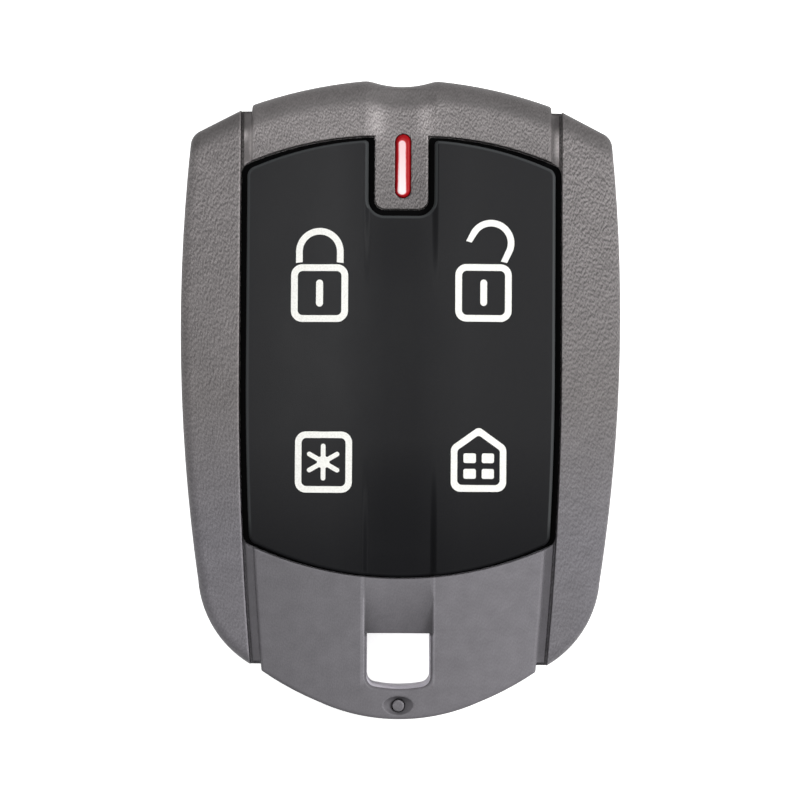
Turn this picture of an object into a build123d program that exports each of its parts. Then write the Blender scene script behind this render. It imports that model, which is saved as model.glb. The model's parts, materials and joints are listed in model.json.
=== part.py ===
"""Key fob remote control with a four key silicone pad, a signal light and a key ring hole.

The fob lies on its back. Z points out of the key face, Y points to the head end with the light,
X points to the right. The origin is under the middle of the fob, on the surface that it rests on.
All sizes are in millimetres.
"""

import math
import os

from build123d import *

# Overall size
body_length = 63.7
body_width = 43.9
body_thickness = 14.0

# Crown of the key face and of the back
crown_across = 90.0
crown_along = 260.0
back_across = 60.0
back_along = 200.0
back_flat_sink = 1.2

# How far the blocks under these faces reach past the fob, as a share of its half width and half length
block_reach = 1.4

# Outline of the shells, from the head end to the tail end
wing_head_step = 3.0
wing_tail_step = 5.35
shoulder_inset = 0.9
shoulder_drop = 2.5
shoulder_radius = 1.6
widest_from_head = 20.5
hip_inset = 1.9
hip_from_tail = 13.7
hip_radius = 10.6

# Wings and the valley between them
wing_width_head = 5.88
wing_width_tail = 7.16
valley_bend_from_head = 28.85
wing_edge_radius = 1.3
valley_depth = 2.4

# Centre bezel
bezel_side_step = 1.1
bezel_corner_head = 2.45
bezel_corner_tail = 4.75
bezel_head_radius = 47.0
head_dip_half = 3.3
head_dip_depth = 0.6
head_dip_crest_radius = 2.6
tail_arc_from_side = 13.95
tail_arc_rise = 1.73
tail_side_radius = 30.0
ledge_gap = 0.3
ledge_depth = 1.1
ledge_end_inset = 0.3
head_bevel_radius = 1.9
bezel_edge_radius = 0.3
skirt_width = 1.6
skirt_foot = 8.3

# Light tab and light pipe
tab_half = 2.61
tab_foot_from_head = 12.95
tab_corner_radius = 1.0
pipe_width = 1.55
pipe_length = 6.4
pipe_centre_from_head = 8.65
pipe_shift = 0.15
pipe_clearance = 0.05
pipe_stand_out = 0.15
pipe_shoulder = 0.45
pipe_shoulder_thickness = 0.6
pipe_edge_radius = 0.45
pipe_lamp_gap = 0.1

# Keypad
pad_side_gap = 0.7
pad_head_gap = 0.45
pad_tab_gap = 0.67
pad_tail_gap = 0.17
pad_corner_from_head = 9.05
pad_head_rise = 2.95
pad_head_radius = 34.0
pad_corner_from_tail = 17.65
pad_tail_drop = 3.5
pad_corner_radius = 1.0
pad_cap_thickness = 1.7
pad_neck_radius = 0.6
pad_neck_inset = 0.8
pad_neck_clearance = 0.2
pad_seat_clearance = 0.05
pad_flange_thickness = 0.4
pad_flange_clearance = 0.1

# Keys
key_side_margin = 1.4
key_head_margin = 3.7
key_tail_margin = 0.5
key_column_gap = 6.8
key_row_gap = 2.8
key_corner_radius = 3.0
key_gap = 0.1
key_thickness = 1.6
key_nub_diameter = 3.4
key_nub_clearance = 0.5
key_travel = 0.3

# Channel down the middle of the face
channel_radius = 11.0
channel_depth = 0.65
channel_start_from_head = 11.85
channel_start_from_tail = 17.35
channel_fade_radius = 55.0
channel_fade_angle = 14.0
ramp_half = 3.45
ramp_under_pad = 1.0
ramp_depth = 0.45
ramp_section_radius = 14.0
ramp_fall_radius = 16.0
ramp_fall_angle = 40.0

# Key ring hole and locating post
ring_hole_half = 3.17
ring_hole_length = 5.1
ring_bar = 3.45
ring_hole_bulge = 0.4
ring_hole_corner_radius = 1.0
ring_rim_chamfer = 0.25
ring_wall = 1.8
post_from_tail = 1.35
post_diameter = 1.15
post_sink = 0.35
post_clearance = 0.1
post_dish_width = 3.1
post_dish_length = 1.9
post_dish_depth = 0.75

# Shells
wall = 1.5
floor_thickness = 1.2
parting_height = 5.5
lip_height = 0.7
lip_thickness = 0.7
lip_clearance = 0.08

# Screws
screw_from_side = 7.75
screw_from_head = 10.85
screw_from_tail = 14.25
screw_diameter = 2.0
screw_length = 5.0
screw_seat_height = 3.2
screw_head_diameter = 3.6
screw_head_height = 1.3
screw_head_edge_radius = 0.4
screw_tip_chamfer = 0.3
screw_recess_diameter = 4.2
screw_hole_diameter = 2.3
screw_pilot_clearance = 0.02
screw_pilot_spare = 0.3
screw_boss_diameter = 4.4
screw_post_diameter = 6.6
screw_drive_width = 0.5
screw_drive_length = 2.2
screw_drive_depth = 0.6

# Circuit board
board_thickness = 1.0
board_edge_gap = 0.5
board_boss_gap = 0.3

# Tact switches
switch_size = 4.5
switch_height = 1.6
switch_cover_thickness = 0.2
switch_plunger_diameter = 2.0
switch_plunger_clearance = 0.05
switch_plunger_height = 0.6
switch_well_diameter = 3.4
switch_dome_thickness = 0.1
switch_dome_rise = 0.25
switch_dome_spare = 0.15
switch_dome_diameter = 3.2
switch_flange_diameter = 2.6
switch_flange_thickness = 0.25
switch_pin_width = 0.6
switch_pin_reach = 0.8
switch_pin_thickness = 0.2
switch_pin_spacing = 3.0

# Coin cell and its contacts
cell_diameter = 20.0
cell_height = 3.2
cell_cap_diameter = 17.4
cell_cap_height = 0.35
cell_edge_chamfer = 0.3
cell_centre_y = 3.0
contact_thickness = 0.25
contact_diameter = 7.0
contact_hole_diameter = 1.4
contact_hole_x = 1.75
clip_width = 5.0
clip_side_gap = 0.3
clip_foot_length = 1.6

# Parts on the circuit board
lamp_length = 2.0
lamp_width = 1.25
lamp_base_height = 0.3
lamp_lens_length = 1.4
lamp_height = 0.8
controller_length = 5.0
controller_width = 4.4
controller_pins = 7
controller_share = 0.686
radio_length = 3.0
radio_width = 3.0
radio_pins = 4
radio_share = 0.479
chip_height = 1.0
chip_stand_off = 0.1
chip_pin_width = 0.3
chip_pin_pitch = 0.65
chip_pin_thickness = 0.15
chip_pin_knee = 0.25
chip_pin_foot = 0.55
crystal_length = 3.2
crystal_width = 2.5
crystal_height = 0.75
crystal_share = 0.34
filter_size = 3.8
filter_height = 1.3
filter_share = 0.196
can_corner_radius = 0.3
pole_chip_length = 1.6
pole_chip_width = 0.8
pole_chip_cap_length = 0.25
pole_chip_cap_step = 0.05
pole_chip_row_x = 2.0
pole_chip_gap = 1.1
capacitor_height = 0.8
resistor_height = 0.5
antenna_boss_gap = 1.5
antenna_width = 7.0
antenna_from_tail = 16.25
antenna_corner_radius = 2.0
antenna_strip = 0.8
antenna_thickness = 0.1
antenna_mouth = 3.0

# How close an edge lies to a surface to count as lying on it
pick_tolerance = 0.05


def head_y():
    """The head end of the fob."""
    return body_length / 2


def tail_y():
    """The tail end of the fob."""
    return -body_length / 2


def wing_head_y():
    """The head end of the wings."""
    return head_y() - wing_head_step


def wing_tail_y():
    """The tail end of the wings."""
    return tail_y() + wing_tail_step


def valley_bend_y():
    """Where the straight sides of the valley begin to bend inwards, along the fob."""
    return head_y() - valley_bend_from_head


def valley_bend_radius():
    """Radius of the bend, which ends at the tail of the wings."""
    length = valley_bend_y() - wing_tail_y()
    drop = wing_width_tail - wing_width_head
    return (length**2 + drop**2) / (2 * drop)


def valley_half(y):
    """Half the width of the valley between the wings at a place along the fob."""
    bent = max(valley_bend_y() - y, 0)
    radius = valley_bend_radius()
    return body_width / 2 - wing_width_head - radius + math.sqrt(radius**2 - bent**2)


def valley_side(head, tail, grow=0.0):
    """The right side of the valley between two places, moved outwards: a line and the bend."""
    bend = (valley_half(valley_bend_y()) + grow, valley_bend_y())
    middle_y = (valley_bend_y() + tail) / 2
    middle = (valley_half(middle_y) + grow, middle_y)
    return [
        Line((valley_half(head) + grow, head), bend),
        ThreePointArc(bend, middle, (valley_half(tail) + grow, tail)),
    ]


def board_top():
    """Height of the upper face of the circuit board, which lies on the rear cover."""
    return parting_height + board_thickness


def plunger_top():
    """Height of the top of the switch plungers."""
    return board_top() + switch_height + switch_plunger_height


def pad_head_corner_y():
    """Place of the keypad's head corners along the fob."""
    return head_y() - pad_corner_from_head


def pad_tail_corner_y():
    """Place of the keypad's tail corners along the fob."""
    return tail_y() + pad_corner_from_tail


def key_length():
    """Length of a key: two rows of keys fill the pad between its corners, apart from the margins."""
    keys = pad_head_corner_y() - pad_tail_corner_y() - key_head_margin - key_tail_margin - key_row_gap
    return keys / 2


def key_width():
    """Width of a key: two columns fill the pad at its narrow tail corners, apart from the margins."""
    half = valley_half(pad_tail_corner_y()) - pad_side_gap
    return half - key_side_margin - key_column_gap / 2


def key_places():
    """Name and centre of each key."""
    x = (key_column_gap + key_width()) / 2
    head_row_y = pad_head_corner_y() - key_head_margin - key_length() / 2
    tail_row_y = pad_tail_corner_y() + key_tail_margin + key_length() / 2
    return {
        "lock": (-x, head_row_y),
        "unlock": (x, head_row_y),
        "star": (-x, tail_row_y),
        "home": (x, tail_row_y),
    }


def ring_hole_tail_y():
    """The tail side of the key ring hole, apart from its bulge."""
    return tail_y() + ring_bar


def ring_hole_head_y():
    """The head side of the key ring hole."""
    return ring_hole_tail_y() + ring_hole_length


def post_y():
    """Place of the locating post along the fob."""
    return tail_y() + post_from_tail


def lamp_y():
    """Place of the lamp and of the light pipe along the fob."""
    return head_y() - pipe_centre_from_head


def antenna_y():
    """Place of the antenna loop along the fob."""
    return tail_y() + antenna_from_tail


def antenna_length():
    """Length of the antenna loop across the fob, between the screw bosses."""
    return 2 * (screw_x() - screw_boss_diameter / 2 - antenna_boss_gap)


def board_y(share):
    """A place along the board, as a share of the way from the antenna to the lamp."""
    return antenna_y() + share * (lamp_y() - antenna_y())


def switch_well_depth():
    """Depth of the switch well: dome, travel, spare and plunger flange."""
    return switch_dome_rise + key_travel + switch_dome_spare + switch_flange_thickness


def screw_x():
    """Distance of the cover screws from the middle line."""
    return body_width / 2 - screw_from_side


def screw_places():
    """Centres of the four cover screws."""
    x = screw_x()
    places = []
    for y in (head_y() - screw_from_head, tail_y() + screw_from_tail):
        places += [(-x, y), (x, y)]
    return places


def screw_circles(diameter):
    """A circle round every cover screw."""
    return Sketch() + [Pos(*place) * Circle(diameter / 2) for place in screw_places()]


def crown_height(x, y, drop=0.0):
    """Height of the crowned face, lowered by drop, over a point."""
    axis = body_thickness - crown_along
    section = body_thickness - drop - x**2 / (2 * crown_across)
    return axis + math.sqrt((section - axis) ** 2 - y**2)


def crown_block(drop=0.0):
    """All the space under the crowned face, lowered by drop: a parabola swung about an axis far below."""
    reach = block_reach * body_width / 2
    top = body_thickness - drop
    edge = top - reach**2 / (2 * crown_across)
    foot = -body_thickness
    section = make_face(
        [
            Bezier((-reach, edge), (0, 2 * top - edge), (reach, edge)),
            Line((reach, edge), (reach, foot)),
            Line((reach, foot), (-reach, foot)),
            Line((-reach, foot), (-reach, edge)),
        ]
    )
    axis = Axis((0, 0, body_thickness - crown_along), (1, 0, 0))
    return swung(section, axis, crown_along)


def back_block(lift=0.0):
    """All the space over the crowned back, raised by lift."""
    reach = block_reach * body_width / 2
    low = lift - back_flat_sink
    edge = low + reach**2 / (2 * back_across)
    ceiling = 2 * body_thickness
    section = make_face(
        [
            Bezier((-reach, edge), (0, 2 * low - edge), (reach, edge)),
            Line((reach, edge), (reach, ceiling)),
            Line((reach, ceiling), (-reach, ceiling)),
            Line((-reach, ceiling), (-reach, edge)),
        ]
    )
    axis = Axis((0, 0, back_along - back_flat_sink), (1, 0, 0))
    return swung(section, axis, back_along)


def swung(section, axis, radius):
    """A section across the fob swung about a far axis, past both ends of the fob."""
    reach = block_reach * body_length / 2
    angle = 2 * math.degrees(math.asin(reach / (radius - 3 * body_thickness)))
    return revolve((Plane.XZ * section).rotate(axis, -angle / 2), axis, angle)


def column(plan, low, high):
    """A plan raised from one height to another."""
    return extrude(Pos(0, 0, low) * plan, high - low)


def tall_column(plan):
    """A plan raised through the whole fob and beyond."""
    return column(plan, -body_thickness, 2 * body_thickness)


def slab(plan, top_drop, foot_drop):
    """The layer of a plan between two lowered crown surfaces."""
    return (tall_column(plan) & crown_block(top_drop)) - crown_block(foot_drop)


def mirrored(right_edges):
    """A face from the edges on the right, in order from the head to the tail, and their mirror images."""
    left_edges = [edge.mirror(Plane.YZ) for edge in right_edges]
    return make_face(right_edges + left_edges)


def rounded(plan, places, radius):
    """A plan with the corners at the given places rounded, and the same corners on the left."""
    corners = []
    for x, y in places:
        for side in (-1, 1):
            corners.append(plan.vertices().sort_by_distance((side * x, y, 0))[0])
    return fillet(corners, radius)


def wing_plan():
    """Outline of the shells without the ends that stand out between the wings."""
    half = body_width / 2
    head_tip = (valley_half(wing_head_y()), wing_head_y())
    shoulder = (half - shoulder_inset, wing_head_y() - shoulder_drop)
    widest = (half, head_y() - widest_from_head)
    hip = (half - hip_inset, tail_y() + hip_from_tail)
    tail_tip = (valley_half(wing_tail_y()), wing_tail_y())
    plan = mirrored(
        [
            Line((0, wing_head_y()), head_tip),
            Line(head_tip, shoulder),
            ThreePointArc(shoulder, widest, hip),
            RadiusArc(hip, tail_tip, hip_radius),
            Line(tail_tip, (0, wing_tail_y())),
        ]
    )
    return rounded(plan, [shoulder], shoulder_radius)


def bezel_plan():
    """Outline of the raised part of the centre bezel, with the shallow dip at the head."""
    head_corner_y = head_y() - bezel_corner_head
    tail_corner_y = tail_y() + bezel_corner_tail
    head_corner = (valley_half(head_corner_y) - bezel_side_step, head_corner_y)
    tail_corner = (valley_half(tail_corner_y) - bezel_side_step, tail_corner_y)
    crest = (head_dip_half, head_y())
    tail_arc_half = body_width / 2 - tail_arc_from_side
    tail_knee = (tail_arc_half, tail_y() + tail_arc_rise)
    dip_radius = (head_dip_half**2 + head_dip_depth**2) / (2 * head_dip_depth)
    tail_radius = (tail_arc_half**2 + tail_arc_rise**2) / (2 * tail_arc_rise)
    plan = mirrored(
        [
            RadiusArc((0, head_y() - head_dip_depth), crest, -dip_radius),
            RadiusArc(crest, head_corner, bezel_head_radius),
            *valley_side(head_corner_y, tail_corner_y, -bezel_side_step),
            RadiusArc(tail_corner, tail_knee, tail_side_radius),
            RadiusArc(tail_knee, (0, tail_y()), tail_radius),
        ]
    )
    return rounded(plan, [crest], head_dip_crest_radius)


def ledge_plan():
    """Outline of the sunken ledge of the centre bezel, which fills the valley."""
    head = wing_head_y() - ledge_end_inset
    tail = wing_tail_y() + ledge_end_inset
    side = valley_side(head, tail, -ledge_gap)
    return mirrored([Line((0, head), side[0] @ 0), *side, Line(side[1] @ 1, (0, tail))])


def valley_plan(grow=0.0):
    """Outline of the valley between the wings, running out past both ends."""
    head = head_y() + wall
    tail = tail_y() - wall
    side = valley_side(head, tail, grow)
    return mirrored([Line((0, head), side[0] @ 0), *side, Line(side[1] @ 1, (0, tail))])


def pad_plan(side=0.0, head=0.0, tab=0.0, tail=0.0, radius=pad_corner_radius):
    """Outline of the keypad, grown at its sides, at its head, round the light tab and at its tail."""
    head_corner_y = pad_head_corner_y() + head
    tail_corner_y = pad_tail_corner_y() - tail
    edge = side - pad_side_gap
    head_corner = (valley_half(head_corner_y) + edge, head_corner_y)
    tail_corner = (valley_half(tail_corner_y) + edge, tail_corner_y)
    notch = tab_half + pad_tab_gap - tab
    notch_top = (notch, head_corner_y + pad_head_rise)
    notch_foot = (notch, head_y() - tab_foot_from_head - pad_tab_gap + tab)
    tail_end = (0, tail_corner_y - pad_tail_drop)
    tail_radius = (tail_corner[0] ** 2 + pad_tail_drop**2) / (2 * pad_tail_drop)
    plan = mirrored(
        [
            Line((0, notch_foot[1]), notch_foot),
            Line(notch_foot, notch_top),
            RadiusArc(notch_top, head_corner, pad_head_radius),
            *valley_side(head_corner_y, tail_corner_y, edge),
            RadiusArc(tail_corner, tail_end, tail_radius),
        ]
    )
    plan = rounded(plan, [notch_foot], tab_corner_radius + pad_tab_gap - tab)
    return rounded(plan, [head_corner, tail_corner], radius)


def cavity_plan(clearance=0.0):
    """Outline of the cavity round the keypad, moved inwards by a clearance."""
    gaps = [gap - clearance for gap in (pad_side_gap, pad_head_gap, pad_tab_gap, pad_tail_gap)]
    return pad_plan(*gaps, pad_corner_radius + pad_head_gap - clearance)


def key_plan(place, grow=0.0):
    """Outline of one key, grown by a gap."""
    shape = RectangleRounded(key_width() + 2 * grow, key_length() + 2 * grow, key_corner_radius + grow)
    return Pos(*place) * shape


def ring_hole_plan():
    """Outline of the key ring hole: straight at its head, bulged at its tail."""
    head_corner = (ring_hole_half, ring_hole_head_y())
    tail_corner = (ring_hole_half, ring_hole_tail_y())
    radius = (ring_hole_half**2 + ring_hole_bulge**2) / (2 * ring_hole_bulge)
    plan = mirrored(
        [
            Line((0, ring_hole_head_y()), head_corner),
            Line(head_corner, tail_corner),
            RadiusArc(tail_corner, (0, ring_hole_tail_y() - ring_hole_bulge), radius),
        ]
    )
    return rounded(plan, [tail_corner], ring_hole_corner_radius)


def pipe_plan(grow=0.0):
    """Outline of the light pipe, grown by a clearance."""
    slot = SlotOverall(pipe_length + 2 * grow, pipe_width + 2 * grow, rotation=90)
    return Pos(pipe_shift, lamp_y()) * slot


def half_plane(y, side):
    """A large rectangle on one side of a line across the fob."""
    size = 4 * body_length
    return Pos(0, y + side * size / 2) * Rectangle(size, size)


def skirt_plan():
    """The two crescents at the ends of the bezel that wrap down over the front cover."""
    outline = bezel_plan()
    head = (outline - Pos(0, -skirt_width) * outline) & half_plane(wing_head_y(), 1)
    tail = (outline - Pos(0, skirt_width) * outline) & half_plane(wing_tail_y(), -1)
    return head + tail


def channel_cutter(start_y, side):
    """The shallow channel along the middle of the face, from an end of the fob to where it fades out."""
    radius = crown_along + channel_radius - channel_depth
    start_angle = math.degrees(math.asin(start_y / radius))
    end_angle = math.degrees(math.asin(side * block_reach * head_y() / radius))
    centre = (0, body_thickness - crown_along)
    steady = CenterArc(centre, radius, 90 - end_angle, end_angle - start_angle)
    fade = JernArc(steady @ 1, steady % 1, channel_fade_radius, -side * channel_fade_angle)
    path = Plane.YZ * (steady + fade)
    section = Plane(origin=path @ 0, z_dir=path % 0) * Circle(channel_radius)
    return sweep(section, path)


def ramp_cutter():
    """The sunken ramp in the tail plate, which falls into the key ring hole."""
    start_y = pad_tail_corner_y() - pad_tail_drop + ramp_under_pad
    start_z = crown_height(0, start_y, ramp_depth)
    lift = ramp_section_radius - math.sqrt(ramp_section_radius**2 - ramp_half**2)
    section = make_face(
        [
            ThreePointArc((-ramp_half, lift), (0, 0), (ramp_half, lift)),
            Line((ramp_half, lift), (ramp_half, body_thickness)),
            Line((ramp_half, body_thickness), (-ramp_half, body_thickness)),
            Line((-ramp_half, body_thickness), (-ramp_half, lift)),
        ]
    )
    axis = Axis((0, start_y, start_z - ramp_fall_radius), (1, 0, 0))
    section = Pos(0, start_y, start_z) * (Plane.XZ * section)
    fall = revolve(section, axis, ramp_fall_angle)
    return fall & tall_column(half_plane(ring_hole_head_y(), 1))


def body_plan():
    """Outline of the two shells."""
    return wing_plan() + bezel_plan()


def inner_plan(inset):
    """Outline of the shells moved inwards, stopping short of the key ring hole."""
    return offset(body_plan(), -inset) & half_plane(ring_hole_head_y() + ring_wall, 1)


def neck_plan(clearance=0.0):
    """Outline of the keypad's neck, or of the opening that it stands in."""
    grow = clearance - pad_neck_inset
    return pad_plan(grow, grow, grow, grow, pad_neck_radius)


def front_cover():
    """Upper shell: two hollow wings and the sunken valley between them."""
    block = column(wing_plan(), parting_height, 2 * body_thickness) & crown_block()
    block = fillet(block.faces().sort_by(Axis.Z)[-1].outer_wire().edges(), wing_edge_radius)
    block -= tall_column(valley_plan()) - crown_block(valley_depth)
    ends = column(bezel_plan(), parting_height, 2 * body_thickness) & crown_block(valley_depth)
    ends -= column(skirt_plan(), skirt_foot, 2 * body_thickness)
    shell = block + ends
    ceiling = valley_depth + floor_thickness
    bosses = screw_circles(screw_boss_diameter)
    hollow = column(inner_plan(wall) - bosses, parting_height, 2 * body_thickness)
    shell -= hollow & crown_block(ceiling)
    wing_hollow = inner_plan(wall) - valley_plan(wall) - bosses
    shell -= column(wing_hollow, parting_height, 2 * body_thickness) & crown_block(wall)
    rebate = inner_plan(wall - lip_thickness - lip_clearance)
    rebate -= inner_plan(wall + lip_clearance)
    shell -= column(rebate, parting_height, parting_height + lip_height + lip_clearance)
    post = Pos(0, post_y()) * Circle(post_diameter / 2)
    shell += column(post, parting_height, 2 * body_thickness) & crown_block(post_sink)
    for place in screw_places():
        pilot = Pos(*place) * Circle(screw_diameter / 2 + screw_pilot_clearance)
        shell -= column(pilot, parting_height, screw_seat_height + screw_length + screw_pilot_spare)
    for place in key_places().values():
        nub_hole = Pos(*place) * Circle(key_nub_diameter / 2 + key_nub_clearance)
        shell -= tall_column(nub_hole)
    shell -= tall_column(pipe_plan(pipe_clearance))
    shell -= tall_column(ring_hole_plan())
    return shell


def is_face_rim(edge):
    """Whether an edge lies on the crowned face."""
    place = edge @ 0.5
    return abs(place.Z - crown_height(place.X, place.Y)) < pick_tolerance


def rear_cover():
    """Lower shell with the flat rest face, the screw posts and the lip round its mouth."""
    shell = column(body_plan(), 0, parting_height) & back_block()
    hollow = column(inner_plan(wall) - screw_circles(screw_post_diameter), wall, 2 * body_thickness)
    shell -= hollow & back_block(wall)
    lip = inner_plan(wall - lip_thickness) - inner_plan(wall)
    shell += column(lip, parting_height, parting_height + lip_height)
    for place in screw_places():
        recess = Pos(*place) * Circle(screw_recess_diameter / 2)
        hole = Pos(*place) * Circle(screw_hole_diameter / 2)
        shell -= column(recess, -1, screw_seat_height)
        shell -= column(hole, -1, body_thickness)
    shell -= tall_column(ring_hole_plan())
    return shell


def raised_bezel():
    """The raised part of the bezel as a solid lump, with a wide bevel at the head and fine edges."""
    lump = column(bezel_plan(), parting_height, 2 * body_thickness) & crown_block()
    head_rim = face_rim(lump).filter_by_position(Axis.Y, head_y() - bezel_corner_head, head_y())
    lump = fillet(head_rim, head_bevel_radius)
    tail_rim = face_rim(lump).filter_by_position(Axis.Y, tail_y(), tail_y() + bezel_corner_tail)
    lump = fillet(tail_rim, bezel_edge_radius)
    side_rims = face_rim(lump).sort_by(SortBy.LENGTH)[-4:]
    lump = fillet(side_rims, bezel_edge_radius)
    lump -= tall_column(ring_hole_plan())
    return chamfer(face_rim(lump).filter_by(is_ring_rim), ring_rim_chamfer)


def is_ring_rim(edge):
    """Whether an edge lies over the rim of the key ring hole."""
    place = edge @ 0.5
    inside_x = abs(place.X) < ring_hole_half + pick_tolerance
    return inside_x and post_y() < place.Y < ring_hole_head_y() + pick_tolerance


def face_rim(lump):
    """The edges of a lump on the crowned face."""
    return lump.edges().filter_by(is_face_rim)


def above_valley():
    """All the space over the valley floor, within the face."""
    return crown_block(-1) - crown_block(valley_depth)


def centre_bezel():
    """Grey piece in the valley: head band with the light tab, sunken ledges and tail plate."""
    raised = raised_bezel() & (column(skirt_plan(), skirt_foot, body_thickness) + above_valley())
    bezel = raised + slab(ledge_plan() - ring_hole_plan(), ledge_depth, valley_depth)
    bezel -= tall_column(cavity_plan()) - crown_block(pad_cap_thickness + pad_seat_clearance)
    bezel -= tall_column(neck_plan(pad_neck_clearance))
    bezel -= channel_cutter(head_y() - channel_start_from_head, 1)
    bezel -= ramp_cutter()
    bezel -= tall_column(pipe_plan(pipe_clearance))
    shoulder = pipe_plan(pipe_shoulder + pipe_clearance)
    bezel -= slab(shoulder, valley_depth - pipe_shoulder_thickness - pipe_clearance, valley_depth + wall)
    bezel -= tall_column(Pos(0, post_y()) * Circle(post_diameter / 2 + post_clearance))
    return bezel - post_dish()


def post_dish():
    """The oval dish round the locating post, narrowing to the post's hole."""
    rim_height = crown_height(0, post_y())
    foot = Pos(0, post_y(), rim_height - post_dish_depth) * Circle(post_diameter / 2 + post_clearance)
    rim = Pos(0, post_y(), rim_height) * Ellipse(post_dish_width / 2, post_dish_length / 2)
    return loft([foot, rim]) + column(rim, 0, body_thickness)


def keypad_membrane():
    """The still part of the silicone pad, with an opening for each key."""
    openings = Sketch() + [key_plan(place, key_gap) for place in key_places().values()]
    pad = slab(pad_plan() - openings, 0, pad_cap_thickness)
    flange = cavity_plan(pad_flange_clearance) - openings
    pad += slab(flange, pad_cap_thickness - pad_flange_thickness, pad_cap_thickness)
    pad += slab(neck_plan() - openings, pad_cap_thickness, valley_depth)
    pad -= channel_cutter(head_y() - channel_start_from_head, 1)
    pad -= channel_cutter(tail_y() + channel_start_from_tail, -1)
    return pad


def key(place):
    """One key: a region of the silicone pad with the nub that presses its switch."""
    cap = slab(key_plan(place), 0, key_thickness)
    nub = Pos(*place) * Circle(key_nub_diameter / 2)
    cap += column(nub, plunger_top(), body_thickness) & crown_block(key_thickness / 2)
    return cap


def light_pipe():
    """Red light pipe: a domed bar in the tab with a foot over the lamp."""
    lamp_top = board_top() + lamp_height
    bar = column(pipe_plan(), lamp_top + pipe_lamp_gap, 2 * body_thickness)
    bar &= crown_block(channel_depth - pipe_stand_out)
    bar = fillet(bar.faces().sort_by(Axis.Z)[-1].outer_wire().edges(), pipe_edge_radius)
    shoulder = slab(pipe_plan(pipe_shoulder), valley_depth - pipe_shoulder_thickness, valley_depth)
    return bar + shoulder


def circuit_board():
    """Circuit board with a round cut for each boss of the front cover."""
    plan = offset(body_plan(), -wall - board_edge_gap)
    plan &= half_plane(ring_hole_head_y() + ring_wall + board_edge_gap, 1)
    for place in screw_places():
        plan -= Pos(*place) * Circle(screw_boss_diameter / 2 + board_boss_gap)
    return column(plan, parting_height, board_top())


def hat_section(inner_half, height, thickness, foot_length):
    """Section of a strip bent like a hat, with its feet on the ground line."""
    outer_half = inner_half + thickness
    middle_low = (Align.CENTER, Align.MIN)
    section = Rectangle(2 * outer_half, height, align=middle_low)
    section += Rectangle(2 * (outer_half + foot_length), thickness, align=middle_low)
    return section - Rectangle(2 * inner_half, height - thickness, align=middle_low)


def switch_base():
    """Base of a tact switch, with the well for its dome and two strips that end in pins."""
    height = switch_height - switch_cover_thickness
    base = extrude(Rectangle(switch_size, switch_size), height)
    base -= column(Circle(switch_well_diameter / 2), height - switch_well_depth(), 2 * height)
    for x in (-switch_pin_spacing / 2, switch_pin_spacing / 2):
        strip = Pos(x, 0) * Rectangle(switch_pin_width, switch_size + 2 * switch_pin_reach)
        base += extrude(strip, switch_pin_thickness)
    return base


def switch_dome():
    """Metal snap dome that lies in the switch well."""
    radius = ((switch_dome_diameter / 2) ** 2 + switch_dome_rise**2) / (2 * switch_dome_rise)
    outer = Pos(0, 0, switch_dome_rise - radius) * Sphere(radius)
    inner = Pos(0, 0, switch_dome_rise - radius) * Sphere(radius - switch_dome_thickness)
    return (outer - inner) & extrude(Circle(switch_dome_diameter), 1)


def switch_cover():
    """Metal plate that closes the switch well and guides the plunger."""
    hole = switch_plunger_diameter / 2 + switch_plunger_clearance
    return extrude(Rectangle(switch_size, switch_size) - Circle(hole), switch_cover_thickness)


def switch_plunger():
    """Plunger with the flange that keeps it under the switch cover."""
    stem_foot = switch_height - switch_cover_thickness
    stem_height = switch_cover_thickness + switch_plunger_height
    stem = Pos(0, 0, stem_foot) * extrude(Circle(switch_plunger_diameter / 2), stem_height)
    flange_foot = stem_foot - switch_flange_thickness
    flange = extrude(Circle(switch_flange_diameter / 2), switch_flange_thickness)
    return stem + Pos(0, 0, flange_foot) * flange


def at_switches(piece, height=0.0):
    """One copy of a piece over the board under every key."""
    return Compound([Pos(x, y, board_top() + height) * piece for x, y in key_places().values()])


def coin_cell():
    """Coin cell lying with its wide can to the back and its narrow cap to the board."""
    foot = parting_height - contact_thickness - cell_height
    can = extrude(Circle(cell_diameter / 2), cell_height - cell_cap_height)
    can = chamfer(can.edges().group_by(Axis.Z)[0], cell_edge_chamfer)
    cap = column(Circle(cell_cap_diameter / 2), cell_height - cell_cap_height, cell_height)
    return Pos(0, cell_centre_y, foot) * (can + cap)


def battery_contact():
    """Spring plate between the cell's cap and the board."""
    plate = Circle(contact_diameter / 2)
    for x in (-contact_hole_x, contact_hole_x):
        plate -= Pos(x, 0) * Circle(contact_hole_diameter / 2)
    return Pos(0, cell_centre_y, 0) * column(plate, parting_height - contact_thickness, parting_height)


def battery_clip():
    """Strap that holds the cell against the board, with a foot at each end."""
    inner_half = cell_diameter / 2 + clip_side_gap
    height = cell_height + 2 * contact_thickness
    section = hat_section(inner_half, height, contact_thickness, clip_foot_length)
    clip = extrude(Plane.XZ * mirror(section, Plane.XZ), clip_width / 2, both=True)
    return Pos(0, cell_centre_y, parting_height) * clip


def cover_screw():
    """Pan head screw pointing up, with its head's seat at height zero."""
    head = Pos(0, 0, -screw_head_height) * extrude(Circle(screw_head_diameter / 2), screw_head_height)
    head = fillet(head.edges().group_by(Axis.Z)[0], screw_head_edge_radius)
    for turn in (0, 90):
        slot = Rectangle(screw_drive_length, screw_drive_width, rotation=turn)
        head -= Pos(0, 0, -screw_head_height) * extrude(slot, screw_drive_depth)
    shank = extrude(Circle(screw_diameter / 2), screw_length)
    shank = chamfer(shank.edges().group_by(Axis.Z)[-1], screw_tip_chamfer)
    return head + shank


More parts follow.
